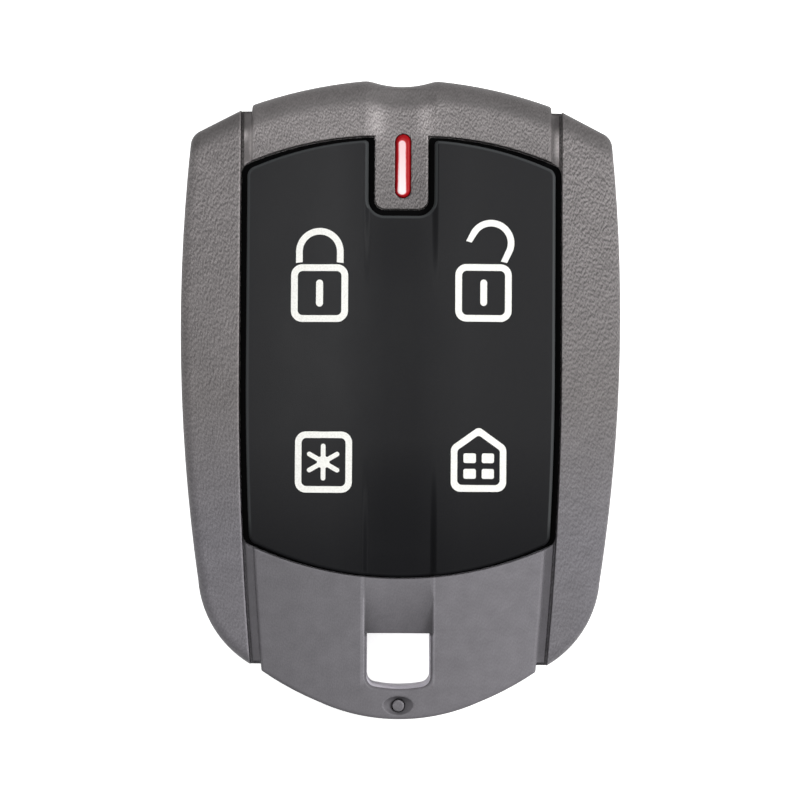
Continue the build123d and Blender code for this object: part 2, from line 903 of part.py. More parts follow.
def status_led():
    """Surface mounted lamp: a base with a lens on it."""
    lamp = extrude(Rectangle(lamp_width, lamp_length), lamp_base_height)
    return lamp + extrude(Rectangle(lamp_width, lamp_lens_length), lamp_height)


def chip(length, width, pins):
    """Chip package with a row of bent pins along each long side."""
    package = column(Rectangle(width, length), chip_stand_off, chip_height)
    section = hat_section(width / 2 + chip_pin_knee, chip_height / 2, chip_pin_thickness, chip_pin_foot)
    strip = extrude(Plane.XZ * section, chip_pin_width / 2, both=True)
    for number in range(pins):
        package += Pos(0, (number - (pins - 1) / 2) * chip_pin_pitch) * strip
    return package


def microcontroller():
    """The largest chip of the board."""
    return chip(controller_length, controller_width, controller_pins)


def can(length, width, height):
    """Metal can with rounded corners."""
    return extrude(RectangleRounded(length, width, can_corner_radius), height)


def on_board(piece, x, y):
    """A piece put down on the board."""
    return Pos(x, y, board_top()) * piece


def pole_chips(places, height):
    """Small chips with a raised cap at each end."""
    core = extrude(Rectangle(pole_chip_length, pole_chip_width), height - pole_chip_cap_step)
    caps = Rectangle(pole_chip_length, pole_chip_width)
    caps -= Rectangle(pole_chip_length - 2 * pole_chip_cap_length, pole_chip_width)
    chip_shape = core + extrude(caps, height)
    return Compound([on_board(chip_shape, x, y) for x, y in places])


def capacitor_places():
    """Two under the lamp and one on each side of the crystal."""
    row_y = lamp_y() - lamp_length / 2 - pole_chip_gap
    side_x = crystal_length / 2 + pole_chip_gap + pole_chip_length / 2
    crystal_y = board_y(crystal_share)
    return [(-pole_chip_row_x, row_y), (pole_chip_row_x, row_y), (-side_x, crystal_y), (side_x, crystal_y)]


def resistor_places():
    """Two over the microcontroller and one on each side of the filter."""
    row_y = board_y(controller_share) + controller_length / 2 + pole_chip_gap
    side_x = filter_size / 2 + pole_chip_gap + pole_chip_length / 2
    filter_y = board_y(filter_share)
    return [(-pole_chip_row_x, row_y), (pole_chip_row_x, row_y), (-side_x, filter_y), (side_x, filter_y)]


def antenna_loop():
    """Copper strip that runs round the tail of the board and stops at a mouth."""
    inner_radius = antenna_corner_radius - antenna_strip
    inner_length = antenna_length() - 2 * antenna_strip
    inner_width = antenna_width - 2 * antenna_strip
    strip = RectangleRounded(antenna_length(), antenna_width, antenna_corner_radius)
    strip -= RectangleRounded(inner_length, inner_width, inner_radius)
    strip -= Pos(0, antenna_width / 2) * Rectangle(antenna_mouth, 2 * antenna_strip)
    return on_board(extrude(strip, antenna_thickness), 0, antenna_y())


def build():
    """Every node of the fob by name."""
    cover_foot = switch_height - switch_cover_thickness
    nodes = {
        "front_cover": front_cover(),
        "rear_cover": rear_cover(),
        "centre_bezel": centre_bezel(),
        "keypad_membrane": keypad_membrane(),
        "light_pipe": light_pipe(),
        "circuit_board": circuit_board(),
        "switch_bases": at_switches(switch_base()),
        "switch_domes": at_switches(switch_dome(), cover_foot - switch_well_depth()),
        "switch_covers": at_switches(switch_cover(), cover_foot),
        "coin_cell": coin_cell(),
        "battery_contact": battery_contact(),
        "battery_clip": battery_clip(),
        "cover_screws": Compound([Pos(x, y, screw_seat_height) * cover_screw() for x, y in screw_places()]),
        "status_led": on_board(status_led(), pipe_shift, lamp_y()),
        "microcontroller": on_board(microcontroller(), 0, board_y(controller_share)),
        "radio_chip": on_board(chip(radio_length, radio_width, radio_pins), 0, board_y(radio_share)),
        "crystal": on_board(can(crystal_length, crystal_width, crystal_height), 0, board_y(crystal_share)),
        "saw_filter": on_board(can(filter_size, filter_size, filter_height), 0, board_y(filter_share)),
        "chip_capacitors": pole_chips(capacitor_places(), capacitor_height),
        "chip_resistors": pole_chips(resistor_places(), resistor_height),
        "antenna_loop": antenna_loop(),
    }
    for name, place in key_places().items():
        nodes["key_" + name] = key(place)
        nodes["switch_plunger_" + name] = on_board(switch_plunger(), *place)
    return nodes


if __name__ == "__main__":
    os.makedirs("parts", exist_ok=True)
    for name, shape in build().items():
        export_step(shape, "parts/" + name + ".step")
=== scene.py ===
"""Looks of the key fob: grained grey shells, a black silicone keypad with printed symbols and a red light.

Lengths are in millimetres and angles in degrees where nothing else is said. Places are in the frame of the
CAD model. The meshes, the lights and the camera are made in metres.
"""

import json
import math

import bpy
import numpy as np
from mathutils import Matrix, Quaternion, Vector
from mathutils.geometry import delaunay_2d_cdt


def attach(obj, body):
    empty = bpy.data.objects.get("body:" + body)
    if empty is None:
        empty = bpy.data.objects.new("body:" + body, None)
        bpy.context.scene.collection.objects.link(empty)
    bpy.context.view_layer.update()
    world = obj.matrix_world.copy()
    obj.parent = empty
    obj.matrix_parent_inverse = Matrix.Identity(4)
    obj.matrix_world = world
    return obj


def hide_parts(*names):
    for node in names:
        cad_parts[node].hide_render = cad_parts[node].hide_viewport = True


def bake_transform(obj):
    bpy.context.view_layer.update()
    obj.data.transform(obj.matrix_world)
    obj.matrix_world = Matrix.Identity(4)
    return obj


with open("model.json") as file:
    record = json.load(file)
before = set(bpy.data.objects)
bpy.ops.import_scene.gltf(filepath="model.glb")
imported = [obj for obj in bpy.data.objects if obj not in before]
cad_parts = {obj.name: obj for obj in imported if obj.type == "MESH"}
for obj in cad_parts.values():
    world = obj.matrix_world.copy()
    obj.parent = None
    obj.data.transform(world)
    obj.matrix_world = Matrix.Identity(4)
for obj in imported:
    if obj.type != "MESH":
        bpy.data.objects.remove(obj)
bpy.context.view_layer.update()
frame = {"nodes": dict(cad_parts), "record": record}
nodes = frame["nodes"]

MM = 0.001
ROOT = "housing"
KEYS = {"lock": (-8.47, 11.6), "unlock": (8.47, 11.6), "star": (-8.47, -6.2), "home": (8.47, -6.2)}

# The crowned face: its height in the middle and its radii along and across the fob
FACE_HEIGHT = 14.0
CROWN_RADIUS_ALONG = 260.0
CROWN_RADIUS_ACROSS = 90.0

# The valley between the wings: straight sides that bend inwards towards the tail
VALLEY_HALF = 16.07
VALLEY_BEND_Y = 3.0
VALLEY_BEND_RADIUS = 340.58

# The finger channels in the pad: where they fade out, and the shape of their bowed floor and their walls
CHANNEL_HEAD_Y = 20.5
CHANNEL_TAIL_Y = -15.0
CHANNEL_FADE = 11.0
CHANNEL_DEPTH = 0.65
CHANNEL_BOW = 0.25
CHANNEL_BOW_HALF = 3.3
CHANNEL_FLOOR_HALF = 3.05
CHANNEL_WALL = 0.75

# The pad's outline: the gap beside it, its ends, and the notch in it for the light
PAD_GAP = 0.7
PAD_SIDE_HEAD_Y = 22.8
PAD_SIDE_TAIL_Y = -14.2
PAD_HEAD_RADIUS = 34.0
PAD_TAIL_SAG = 3.5
PAD_CORNER = 1.0
NOTCH_HALF = 3.28
NOTCH_HEAD_Y = 25.75
NOTCH_FOOT_Y = 18.23
NOTCH_LIP = 0.35
NOTCH_CORNER = 1.6


# Shape of the face

def crown(x, y):
    """Height of the crowned key face."""
    radius = CROWN_RADIUS_ALONG - x**2 / (2 * CROWN_RADIUS_ACROSS)
    return FACE_HEIGHT - CROWN_RADIUS_ALONG + np.sqrt(radius**2 - y**2)


def valley_half(y):
    """Half the width of the valley between the wings."""
    bent = np.maximum(VALLEY_BEND_Y - y, 0.0)
    return VALLEY_HALF - VALLEY_BEND_RADIUS + np.sqrt(VALLEY_BEND_RADIUS**2 - bent**2)


def ease(t):
    """Smooth step from 0 to 1."""
    t = np.clip(t, 0.0, 1.0)
    return t * t * (3 - 2 * t)


def channel_depth(x, y):
    """Depth of the channels that run out of both ends of the pad and fade towards its middle."""
    from_head = 1.0 - ease((CHANNEL_HEAD_Y - y) / CHANNEL_FADE)
    from_tail = 1.0 - ease((y - CHANNEL_TAIL_Y) / CHANNEL_FADE)
    bowl = np.maximum(1.0 - CHANNEL_BOW * (x / CHANNEL_BOW_HALF) ** 2, 0.0)
    walls = 1.0 - ease((np.abs(x) - CHANNEL_FLOOR_HALF) / CHANNEL_WALL)
    return CHANNEL_DEPTH * np.maximum(from_head, from_tail) * bowl * walls


def pad_height(x, y):
    """Height of the pad's face."""
    return crown(x, y) - channel_depth(x, y)


def pad_normal(x, y):
    """Unit normals of the pad's face."""
    step = 0.02
    slope_x = (pad_height(x + step, y) - pad_height(x - step, y)) / (2 * step)
    slope_y = (pad_height(x, y + step) - pad_height(x, y - step)) / (2 * step)
    normal = np.stack([-slope_x, -slope_y, np.ones_like(slope_x)], axis=-1)
    return normal / np.linalg.norm(normal, axis=-1, keepdims=True)


# Outlines

# How densely outlines are drawn, and the corners and distances that are too small to count
POINT_SPACING = 0.35
POINTS_PER_RADIAN = 9
LONG_RUN = 90
SHORT_RUN = 40
LEAST_TURN = 0.02
LEAST_GAP = 0.02
LEAST_RISE = 1e-12
MERGE_DISTANCE = 1e-5


def arc(centre, radius, start, end, count):
    """Points on a circle between two angles."""
    angles = np.radians(np.linspace(start, end, count))
    return np.stack([centre[0] + radius * np.cos(angles), centre[1] + radius * np.sin(angles)], axis=-1)


def bowed(start, end, radius, count):
    """Points on an arc of a given radius between two points, bulging to the right of the way."""
    start, end = np.array(start, float), np.array(end, float)
    half = np.linalg.norm(end - start) / 2
    along = (end - start) / (2 * half)
    left = np.array([-along[1], along[0]])
    centre = (start + end) / 2 + left * math.sqrt(radius**2 - half**2)
    first = math.degrees(math.atan2(*(start - centre)[::-1]))
    turn = 2 * math.degrees(math.asin(half / radius))
    return arc(centre, radius, first, first + turn, count)


def joined(runs, radii):
    """A closed loop from runs of points, where the corner after each run is rounded to its radius."""
    count = len(runs)
    cut = [[0.0, 0.0] for _ in runs]
    arcs = []
    for i in range(count):
        a, b = runs[i], runs[(i + 1) % count]
        into = (a[-1] - a[-2]) / np.linalg.norm(a[-1] - a[-2])
        out = (b[1] - b[0]) / np.linalg.norm(b[1] - b[0])
        cross = into[0] * out[1] - into[1] * out[0]
        turn = math.atan2(cross, float(np.dot(into, out)))
        if radii[i] <= 0 or abs(turn) < LEAST_TURN:
            arcs.append(None)
            continue
        back = radii[i] * math.tan(abs(turn) / 2)
        cut[i][1] = back
        cut[(i + 1) % count][0] = back
        side = math.copysign(1.0, turn)
        centre = a[-1] - into * back + np.array([-into[1], into[0]]) * side * radii[i]
        first = a[-1] - into * back - centre
        start = math.degrees(math.atan2(first[1], first[0]))
        points = 2 + int(abs(turn) * POINTS_PER_RADIAN)
        arcs.append(arc(centre, radii[i], start, start + math.degrees(turn), points))
    loop = []
    for i in range(count):
        run = runs[i]
        steps = np.concatenate([[0.0], np.cumsum(np.linalg.norm(np.diff(run, axis=0), axis=1))])
        keep = (steps > cut[i][0] + LEAST_GAP) & (steps < steps[-1] - cut[i][1] - LEAST_GAP)
        if cut[i][0] == 0:
            keep[0] = True
        loop.extend(run[keep])
        if arcs[i] is not None:
            loop.extend(arcs[i])
    return np.array(loop)


def line(start, end, spacing=POINT_SPACING):
    """Evenly spaced points on a straight line."""
    count = max(2, int(math.dist(start, end) / spacing) + 1)
    return np.linspace(start, end, count)


def pad_outline(side=0.0, head=0.0, notch=0.0, tail=0.0):
    """Outline of the pad, counterclockwise, grown at its sides, head, notch and tail if asked for."""
    rows = np.linspace(PAD_SIDE_TAIL_Y - tail, PAD_SIDE_HEAD_Y + head, LONG_RUN)
    right = np.stack([valley_half(rows) - PAD_GAP + side, rows], axis=-1)
    head_corner, tail_corner = right[-1], right[0]
    notch_top = np.array([NOTCH_HALF - notch, NOTCH_HEAD_Y + head])
    notch_foot = np.array([NOTCH_HALF - notch, NOTCH_FOOT_Y + notch])
    head_arc = bowed(head_corner, notch_top, PAD_HEAD_RADIUS, SHORT_RUN)
    tail_radius = (tail_corner[0] ** 2 + PAD_TAIL_SAG**2) / (2 * PAD_TAIL_SAG)
    flip = np.array([-1.0, 1.0])
    runs = [
        right,
        head_arc,
        line(notch_top, notch_foot),
        line(notch_foot, notch_foot * flip),
        line(notch_foot * flip, notch_top * flip),
        (head_arc * flip)[::-1],
        (right * flip)[::-1],
        bowed(tail_corner * flip, tail_corner, tail_radius, LONG_RUN),
    ]
    inner = NOTCH_CORNER - notch
    radii = [PAD_CORNER, NOTCH_LIP, inner, inner, NOTCH_LIP, PAD_CORNER, PAD_CORNER, PAD_CORNER]
    return joined(runs, radii)


def outward(loop):
    """Outward unit normals of a counterclockwise loop."""
    way = np.roll(loop, -1, axis=0) - np.roll(loop, 1, axis=0)
    normal = np.stack([way[:, 1], -way[:, 0]], axis=-1)
    return normal / np.linalg.norm(normal, axis=-1, keepdims=True)


def inside(points, loop):
    """Which points lie inside a loop, by counting crossings."""
    hits = np.zeros(len(points), bool)
    x, y = points[:, 0], points[:, 1]
    for a, b in zip(loop, np.roll(loop, -1, axis=0)):
        crosses = (a[1] > y) != (b[1] > y)
        rise = b[1] - a[1] if b[1] != a[1] else LEAST_RISE
        hits ^= crosses & (x < (b[0] - a[0]) * (y - a[1]) / rise + a[0])
    return hits


def clear_of(points, loop, gap):
    """Which points keep a distance from a densely sampled loop."""
    nearest = np.full(len(points), np.inf)
    for place in loop:
        nearest = np.minimum(nearest, np.hypot(points[:, 0] - place[0], points[:, 1] - place[1]))
    return nearest > gap


def grid(low, high, step):
    """Evenly spaced points over a box."""
    x, y = np.meshgrid(np.arange(low[0], high[0], step), np.arange(low[1], high[1], step))
    return np.stack([x.ravel(), y.ravel()], axis=-1)


def triangles(loops, points):
    """Triangles over closed loops and loose points."""
    flat = [tuple(p) for loop in loops for p in loop] + [tuple(p) for p in points]
    edges = []
    start = 0
    for loop in loops:
        edges += [(start + i, start + (i + 1) % len(loop)) for i in range(len(loop))]
        start += len(loop)
    corners, _, faces, *_ = delaunay_2d_cdt([Vector(p) for p in flat], edges, [], 0, MERGE_DISTANCE)
    return np.array([(c.x, c.y) for c in corners]), np.array([list(f) for f in faces])


# Making objects

def mesh_object(name, points, faces, normals=None):
    """A smooth mesh object. Its normals are worked out from the faces if none are given."""
    mesh = bpy.data.meshes.new(name)
    mesh.from_pydata((np.asarray(points) * MM).tolist(), [], [list(map(int, f)) for f in faces])
    mesh.polygons.foreach_set("use_smooth", [True] * len(mesh.polygons))
    if normals is not None:
        mesh.normals_split_custom_set_from_vertices([tuple(n) for n in normals])
    obj = bpy.data.objects.new(name, mesh)
    bpy.context.scene.collection.objects.link(obj)
    return obj


def facing_up(points, faces):
    """Faces turned so that they all look up."""
    a, b, c = (points[faces[:, i]] for i in range(3))
    down = (b[:, 0] - a[:, 0]) * (c[:, 1] - a[:, 1]) - (b[:, 1] - a[:, 1]) * (c[:, 0] - a[:, 0]) < 0
    faces = faces.copy()
    faces[down] = faces[down][:, ::-1]
    return faces


def only_used(points, faces):
    """The points that some faces use, and the faces numbered anew to match."""
    used, numbers = np.unique(faces, return_inverse=True)
    return points[used], numbers.reshape(faces.shape)


def on_pad(name, flat, faces, above=0.0):
    """An object that lies on the pad's face, or a little above it."""
    x, y = flat[:, 0], flat[:, 1]
    return mesh_object(name, np.column_stack([flat, pad_height(x, y) + above]), faces, pad_normal(x, y))


def band(first, second, count):
    """Faces between two closed rows of points, given the number of the first point of each row."""
    return [[first + i, second + i, second + (i + 1) % count, first + (i + 1) % count] for i in range(count)]


# Materials

UNSTRETCHED = (1.0, 1.0, 1.0)
UNMOVED = (0.0, 0.0, 0.0)
NOISE_RANGE = (0.3, 0.7)

# Head edge of the band: a dip between two crests, then a falling curve
CREST_X = 3.3
CREST_Y = 31.85
BAND_HEAD_SLOPE = 0.0795
BAND_HEAD_BOW = 0.0111
DIP_X = (1.0, 4.0)
DIP_DEPTH = 0.6

# Head edge of the wings, how far from the edges the painted shade on the bevels fades out, and how dark that
# painted shade is
WING_HEAD_Y = 28.85
WING_HEAD_SLOPE = 0.502
BAND_BEVEL = (1.7, 2.9)
WING_BEVEL = (1.2, 2.6)
BEVEL_GAIN = -0.48

# Painted highlights on the bezel's head: place, half size and gain of each
SHOULDER_LIGHT = (2.5, 27.6, 1.5, 2.6, 0.7)
RIGHT_LEDGE_LIGHT = (15.62, 25.3, 0.55, 2.4, 2.2)
LEFT_LEDGE_LIGHT = (-15.0, 25.4, 0.4, 2.6, 0.8)
LEFT_EDGE_LIGHT = (-15.65, 26.3, 0.5, 0.9, 1.1)

# Painted shade on the ramp, darkest at its foot and at its sides, and painted highlights on the rims beside
# it
RAMP_HALF = 3.3
RAMP_BOW_HALF = 3.6
RAMP_MIDDLE_SHADE = 0.35
RAMP_TOP_Y = -10.0
RAMP_HEAD_Y = -17.5
RAMP_FOOT_Y = -23.3
RAMP_GAIN = -0.5
LEFT_RIM_X = (-3.75, -3.5)
RIGHT_RIM_X = (3.45, 3.55)
RIMS_Y = (-28.0, -17.0)
LEFT_RIM_GAIN = 0.35
RIGHT_RIM_GAIN = 0.3

# Painted light on the walls of the ring hole, where light from the white floor falls on them
HOLE_HALF = 3.5
HOLE_Y = (-29.4, -23.6)
HOLE_WALL_GAIN = 5.0

# Where the painted light and shade of the paint change along and across the fob, and where its grain changes
WINGS_X = (-18.0, 18.0)
WING_LEVEL_Y = (0.0, 20.0)
BAND_LEVEL_X = (-14.0, 14.0)
BAND_LEVEL_Y = (21.5, 26.5)
TAIL_LEVEL_X = (-10.0, 10.0)
TAIL_FADE_Y = (-14.0, 0.0)
GRAIN_FADE_Y = (-20.0, 18.0)
PLATE_EDGE_Y = (-16.5, -12.5)
LEDGE_EDGE_X = (14.6, 14.9)

# Grain of the paint: size and contrast, how it is stretched and turned (in radians), and how far a shifted
# copy lies, whose difference paints light and shade on the grain
WING_GRAIN = (0.21, 0.46)
BAND_GRAIN = (0.16, 0.4)
GRAIN_DETAIL = 1.5
GRAIN_STRETCH = (1.0, 0.62, 1.0)
GRAIN_TURN = 0.6
GRAIN_SHIFT = (0.075, -0.075, 0.0)
GRAIN_DEPTH = 0.14
FOLD_RANGE = (-0.22, 0.22)
FINE_GRAIN = 0.14
FINE_SHARE = 0.3
CLOUD_SIZE = 1.5
PATCH_SIZE = 7.0

# How soft the edges of the paint look, and how much its colour is lightened at most
EDGE_SOFTNESS = 0.3
EDGE_SAMPLES = 6
MOST_LIGHTENED = 5.0

# The tail is a little greener and bluer
TAIL_GREEN = 1.03
TAIL_BLUE = 1.12

# The silicone: its tooth, its handling marks, and where its tone, its sheen and the painted highlight on its
# rim change
TOOTH_SIZE = 0.09
TOOTH_DEPTH = 0.012
DEEP_TOOTH_SIZE = 0.12
DEEP_TOOTH_DEPTH = 0.02
MARK_SIZE = 4.5
MARK_STRETCH = (1.0, 0.55, 1.0)
PAD_TONE_Y = (-18.0, 26.0)
PAD_TONE_SLOPE = 0.012
SHEEN_X = (1.5, 6.5)
SHEEN_Y = (-16.0, -4.0)
RIM_FADE_Y = (-14.0, -12.0)

# The cover of the print
COVER_SIZE = 0.16
COVER_DEPTH = 0.006

# The painted highlight along the domed light pipe
LENS_HIGHLIGHT_X = 0.05
LENS_HIGHLIGHT_HEAD_Y = 25.4
LENS_HIGHLIGHT_TAIL_Y = 20.65
LENS_HIGHLIGHT_WOBBLE = 0.1
LENS_HIGHLIGHT_TAPER_Y = (20.5, 26.0)
LENS_HIGHLIGHT_WHITER_Y = (25.0, 20.8)
LENS_HIGHLIGHT_EDGE = (0.27, 0.36)
LENS_GRAIN = 0.5
LENS_WAVES = 0.9

# How much the plain surfaces vary, and the tracks of the board
TONE_CHANGE = 0.12
ROUGHNESS_CHANGE = 0.06
PLAIN_DEPTH = 0.01
TRACK_SCALE = 420.0
TRACK_BEND = 3.0
TRACK_DEPTH = 0.02


class Surface:
    """A procedural material with helpers to wire its nodes. Places on the fob are in millimetres."""

    def __init__(self, name):
        self.material = bpy.data.materials.new(name)
        self.material.use_nodes = True
        self.tree = self.material.node_tree
        self.shader = self.tree.nodes["Principled BSDF"]
        self.place = self.add("ShaderNodeTexCoord").outputs["Object"]

    def add(self, kind, **values):
        """A node with some of its inputs set."""
        node = self.tree.nodes.new(kind)
        for key, value in values.items():
            node.inputs[key.replace("_", " ")].default_value = value
        return node

    def link(self, output, target):
        """A wire from an output to an input."""
        self.tree.links.new(output, target)

    def put(self, socket, value):
        """Set an input to a number, a vector or a link."""
        if isinstance(value, (int, float, tuple)):
            socket.default_value = value
        else:
            self.link(value, socket)

    def set(self, key, value):
        """Set one input of the shader."""
        self.put(self.shader.inputs[key], value)

    def maths(self, operation, a, b=0.0):
        """A sum done on one or two values."""
        node = self.add("ShaderNodeMath")
        node.operation = operation
        self.put(node.inputs[0], a)
        self.put(node.inputs[1], b)
        return node.outputs[0]

    def product(self, *values):
        """Values multiplied together."""
        result = values[0]
        for value in values[1:]:
            result = self.maths("MULTIPLY", result, value)
        return result

    def ranged(self, value, low, high, to_low, to_high):
        """A value carried from one range to another, and held at its ends."""
        node = self.add("ShaderNodeMapRange", From_Min=low, From_Max=high, To_Min=to_low, To_Max=to_high)
        self.link(value, node.inputs["Value"])
        return node.outputs["Result"]

    def eased(self, value, low, high, to_low, to_high):
        """A value carried smoothly from one range to another."""
        result = self.ranged(value, low, high, to_low, to_high)
        result.node.interpolation_type = "SMOOTHSTEP"
        return result

    def spread(self, noise, low, high):
        """A noise carried to values between a low and a high one."""
        return self.ranged(noise, *NOISE_RANGE, low, high)

    def within(self, value, low, high, fade):
        """1 where a value lies in a range, fading to 0 outside it."""
        rise = self.eased(value, low - fade, low, 0.0, 1.0)
        fall = self.eased(value, high, high + fade, 1.0, 0.0)
        return self.product(rise, fall)

    def lighter(self, mask, gain):
        """1 where a mask is 0, and 1 plus a gain where it is 1."""
        return self.ranged(mask, 0.0, 1.0, 1.0, 1.0 + gain)

    def coordinate(self, vector, axis):
        """One coordinate of a vector."""
        node = self.add("ShaderNodeSeparateXYZ")
        self.link(vector, node.inputs["Vector"])
        return node.outputs[axis]

    def wide(self):
        """Place across the fob."""
        return self.maths("MULTIPLY", self.coordinate(self.place, "X"), 1 / MM)

    def side(self):
        """Distance from the middle line."""
        return self.maths("ABSOLUTE", self.wide())

    def along(self):
        """Place along the fob."""
        return self.maths("MULTIPLY", self.coordinate(self.place, "Y"), 1 / MM)

    def normal(self, kind="Normal"):
        """The way the surface faces."""
        return self.add("ShaderNodeNewGeometry").outputs[kind]

    def noise(self, size, detail=2.0, rough=0.5, stretch=UNSTRETCHED, turn=0.0, shift=UNMOVED):
        """Noise with features of about a size, stretched, turned or shifted if asked for."""
        node = self.add("ShaderNodeTexNoise", Scale=1.0 / (size * MM), Detail=detail, Roughness=rough)
        place = self.place
        if (stretch, turn, shift) != (UNSTRETCHED, 0.0, UNMOVED):
            mapping = self.add("ShaderNodeMapping", Scale=stretch, Rotation=(0.0, 0.0, turn))
            mapping.inputs["Location"].default_value = tuple(way * MM for way in shift)
            self.link(place, mapping.inputs["Vector"])
            place = mapping.outputs["Vector"]
        self.link(place, node.inputs["Vector"])
        return node.outputs["Fac"]

    def colours(self, value, stops):
        """A colour ramp over a value."""
        node = self.add("ShaderNodeValToRGB")
        ramp = node.color_ramp
        while len(ramp.elements) < len(stops):
            ramp.elements.new(0.5)
        for element, (position, colour) in zip(ramp.elements, stops):
            element.position = position
            element.color = (*colour, 1.0)
        self.link(value, node.inputs["Fac"])
        return node.outputs["Color"]

    def mixed(self, share, first, second):
        """A colour between two, by the share of the second."""
        node = self.add("ShaderNodeMix")
        node.data_type = "RGBA"
        self.link(share, node.inputs["Factor"])
        ends = [socket for socket in node.inputs if socket.type == "RGBA"]
        for socket, colour in zip(ends, (first, second)):
            self.put(socket, (*colour, 1.0) if isinstance(colour, tuple) else colour)
        return next(socket for socket in node.outputs if socket.type == "RGBA")

    def bump(self, height, depth, strength=1.0, under=None):
        """Normals bumped by a height, whose full range is a depth."""
        node = self.add("ShaderNodeBump", Distance=depth * MM)
        self.put(node.inputs["Strength"], strength)
        self.link(height, node.inputs["Height"])
        if under is not None:
            self.link(under, node.inputs["Normal"])
        return node.outputs["Normal"]


def linear(*levels):
    """Linear colour from display levels of 0 to 255."""
    shares = [level / 255 for level in levels]
    return tuple(v / 12.92 if v <= 0.04045 else ((v + 0.055) / 1.055) ** 2.4 for v in shares)


def shaded(colour, factor):
    """A colour made darker or lighter."""
    return tuple(min(1.0, c * factor) for c in colour)


def highlight_spot(s, across, x, y, half_x, half_y, gain):
    """1 plus a gain at one place on the face, fading to 1 at its rim: a painted highlight."""
    ways = []
    for value, middle, half in ((across, x, half_x), (s.along(), y, half_y)):
        way = s.maths("DIVIDE", s.maths("SUBTRACT", value, middle), half)
        ways.append(s.product(way, way))
    fade = s.ranged(s.maths("ADD", *ways), 0.0, 1.0, 1.0, 0.0)
    return s.lighter(s.product(fade, fade), gain)


def head_bevel(s):
    """1 on the bevel along the head of the bezel, 0 on the rest of the face."""
    past = s.maths("MAXIMUM", s.maths("SUBTRACT", s.side(), CREST_X), 0.0)
    slope = s.maths("ADD", s.product(past, BAND_HEAD_BOW), BAND_HEAD_SLOPE)
    dip = s.ranged(s.side(), *DIP_X, DIP_DEPTH, 0.0)
    rim = s.maths("SUBTRACT", s.maths("SUBTRACT", CREST_Y, s.product(past, slope)), dip)
    return s.eased(s.maths("SUBTRACT", rim, s.along()), *BAND_BEVEL, 1.0, 0.0)


def wing_bevel(s):
    """1 on the sloping head end of the wings, 0 on the rest of them."""
    fall = s.maths("MULTIPLY", s.maths("SUBTRACT", s.side(), VALLEY_HALF), WING_HEAD_SLOPE)
    rim = s.maths("SUBTRACT", WING_HEAD_Y, fall)
    return s.eased(s.maths("SUBTRACT", rim, s.along()), *WING_BEVEL, 1.0, 0.0)


def ramp_shade(s):
    """How far down the ramp a place of the face is, more so at its sides: the mask of the painted shade on
    the ramp.
    """
    down = s.eased(s.along(), RAMP_FOOT_Y, RAMP_HEAD_Y, 1.0, 0.0)
    bow = s.maths("POWER", s.maths("DIVIDE", s.side(), RAMP_BOW_HALF), 3.0)
    between = s.within(s.side(), 0.0, RAMP_HALF, 0.15)
    above_hole = s.within(s.along(), RAMP_FOOT_Y - 0.1, RAMP_TOP_Y, 0.3)
    return s.product(down, s.maths("ADD", bow, RAMP_MIDDLE_SHADE), between, above_hole)


def head_painted_highlights(s):
    """Painted highlights on the bezel's head: on its shoulders and on its ledges."""
    wide = s.wide()
    return [
        highlight_spot(s, s.side(), *SHOULDER_LIGHT),
        highlight_spot(s, wide, *RIGHT_LEDGE_LIGHT),
        highlight_spot(s, wide, *LEFT_EDGE_LIGHT),
        highlight_spot(s, wide, *LEFT_LEDGE_LIGHT),
    ]


def tail_painted_light_and_shade(s):
    """Painted light and shade of the tail: painted shade on the ramp, painted highlights on the rims beside
    it and painted light on the walls of the ring hole.
    """
    upright = s.maths("ABSOLUTE", s.coordinate(s.normal("True Normal"), "Z"))
    wall = s.eased(upright, 0.3, 0.7, 1.0, 0.0)
    in_hole = (s.within(s.side(), 0.0, HOLE_HALF, 0.1), s.within(s.along(), *HOLE_Y, 0.1))
    beside = s.within(s.along(), *RIMS_Y, 0.8)
    left_rim_highlight = s.product(s.within(s.wide(), *LEFT_RIM_X, 0.12), beside)
    right_rim_highlight = s.product(s.within(s.wide(), *RIGHT_RIM_X, 0.1), beside)
    return [
        # painted shade down the ramp and at its sides
        s.lighter(ramp_shade(s), RAMP_GAIN),
        # painted highlights on the rims beside the ramp
        s.lighter(left_rim_highlight, LEFT_RIM_GAIN),
        s.lighter(right_rim_highlight, RIGHT_RIM_GAIN),
        # painted light on the upright walls of the ring hole
        s.lighter(s.product(wall, *in_hole), HOLE_WALL_GAIN),
    ]


def grain_strength(s, shade, bezel):
    """Strength of the grain: full at the head, faint at the tail, on bevels and on the ledges."""
    shares = [s.ranged(s.along(), *GRAIN_FADE_Y, 0.38, 1.0), s.ranged(shade, 0.0, 1.0, 1.0, 0.4)]
    if bezel:
        shares.append(s.ranged(s.along(), *PLATE_EDGE_Y, 0.4, 1.0))
        shares.append(s.ranged(s.side(), *LEDGE_EDGE_X, 1.0, 0.3))
    return s.product(*shares)


def painted_light_level(s, tail, bezel):
    """Painted light and shade: the paint made lighter and darker along and across the fob, as the light
    falls off over it.
    """
    if not bezel:
        lengthwise = s.ranged(s.along(), *WING_LEVEL_Y, 0.88, 1.08)
        return s.product(lengthwise, s.ranged(s.wide(), *WINGS_X, 1.04, 0.95))
    at_head = s.ranged(s.wide(), *BAND_LEVEL_X, 1.26, 0.97)
    at_tail = s.ranged(s.wide(), *TAIL_LEVEL_X, 0.97, 1.24)
    across = s.maths("ADD", s.product(s.maths("SUBTRACT", at_tail, at_head), tail), at_head)
    return s.product(across, s.ranged(s.along(), *BAND_LEVEL_Y, 0.7, 1.0))


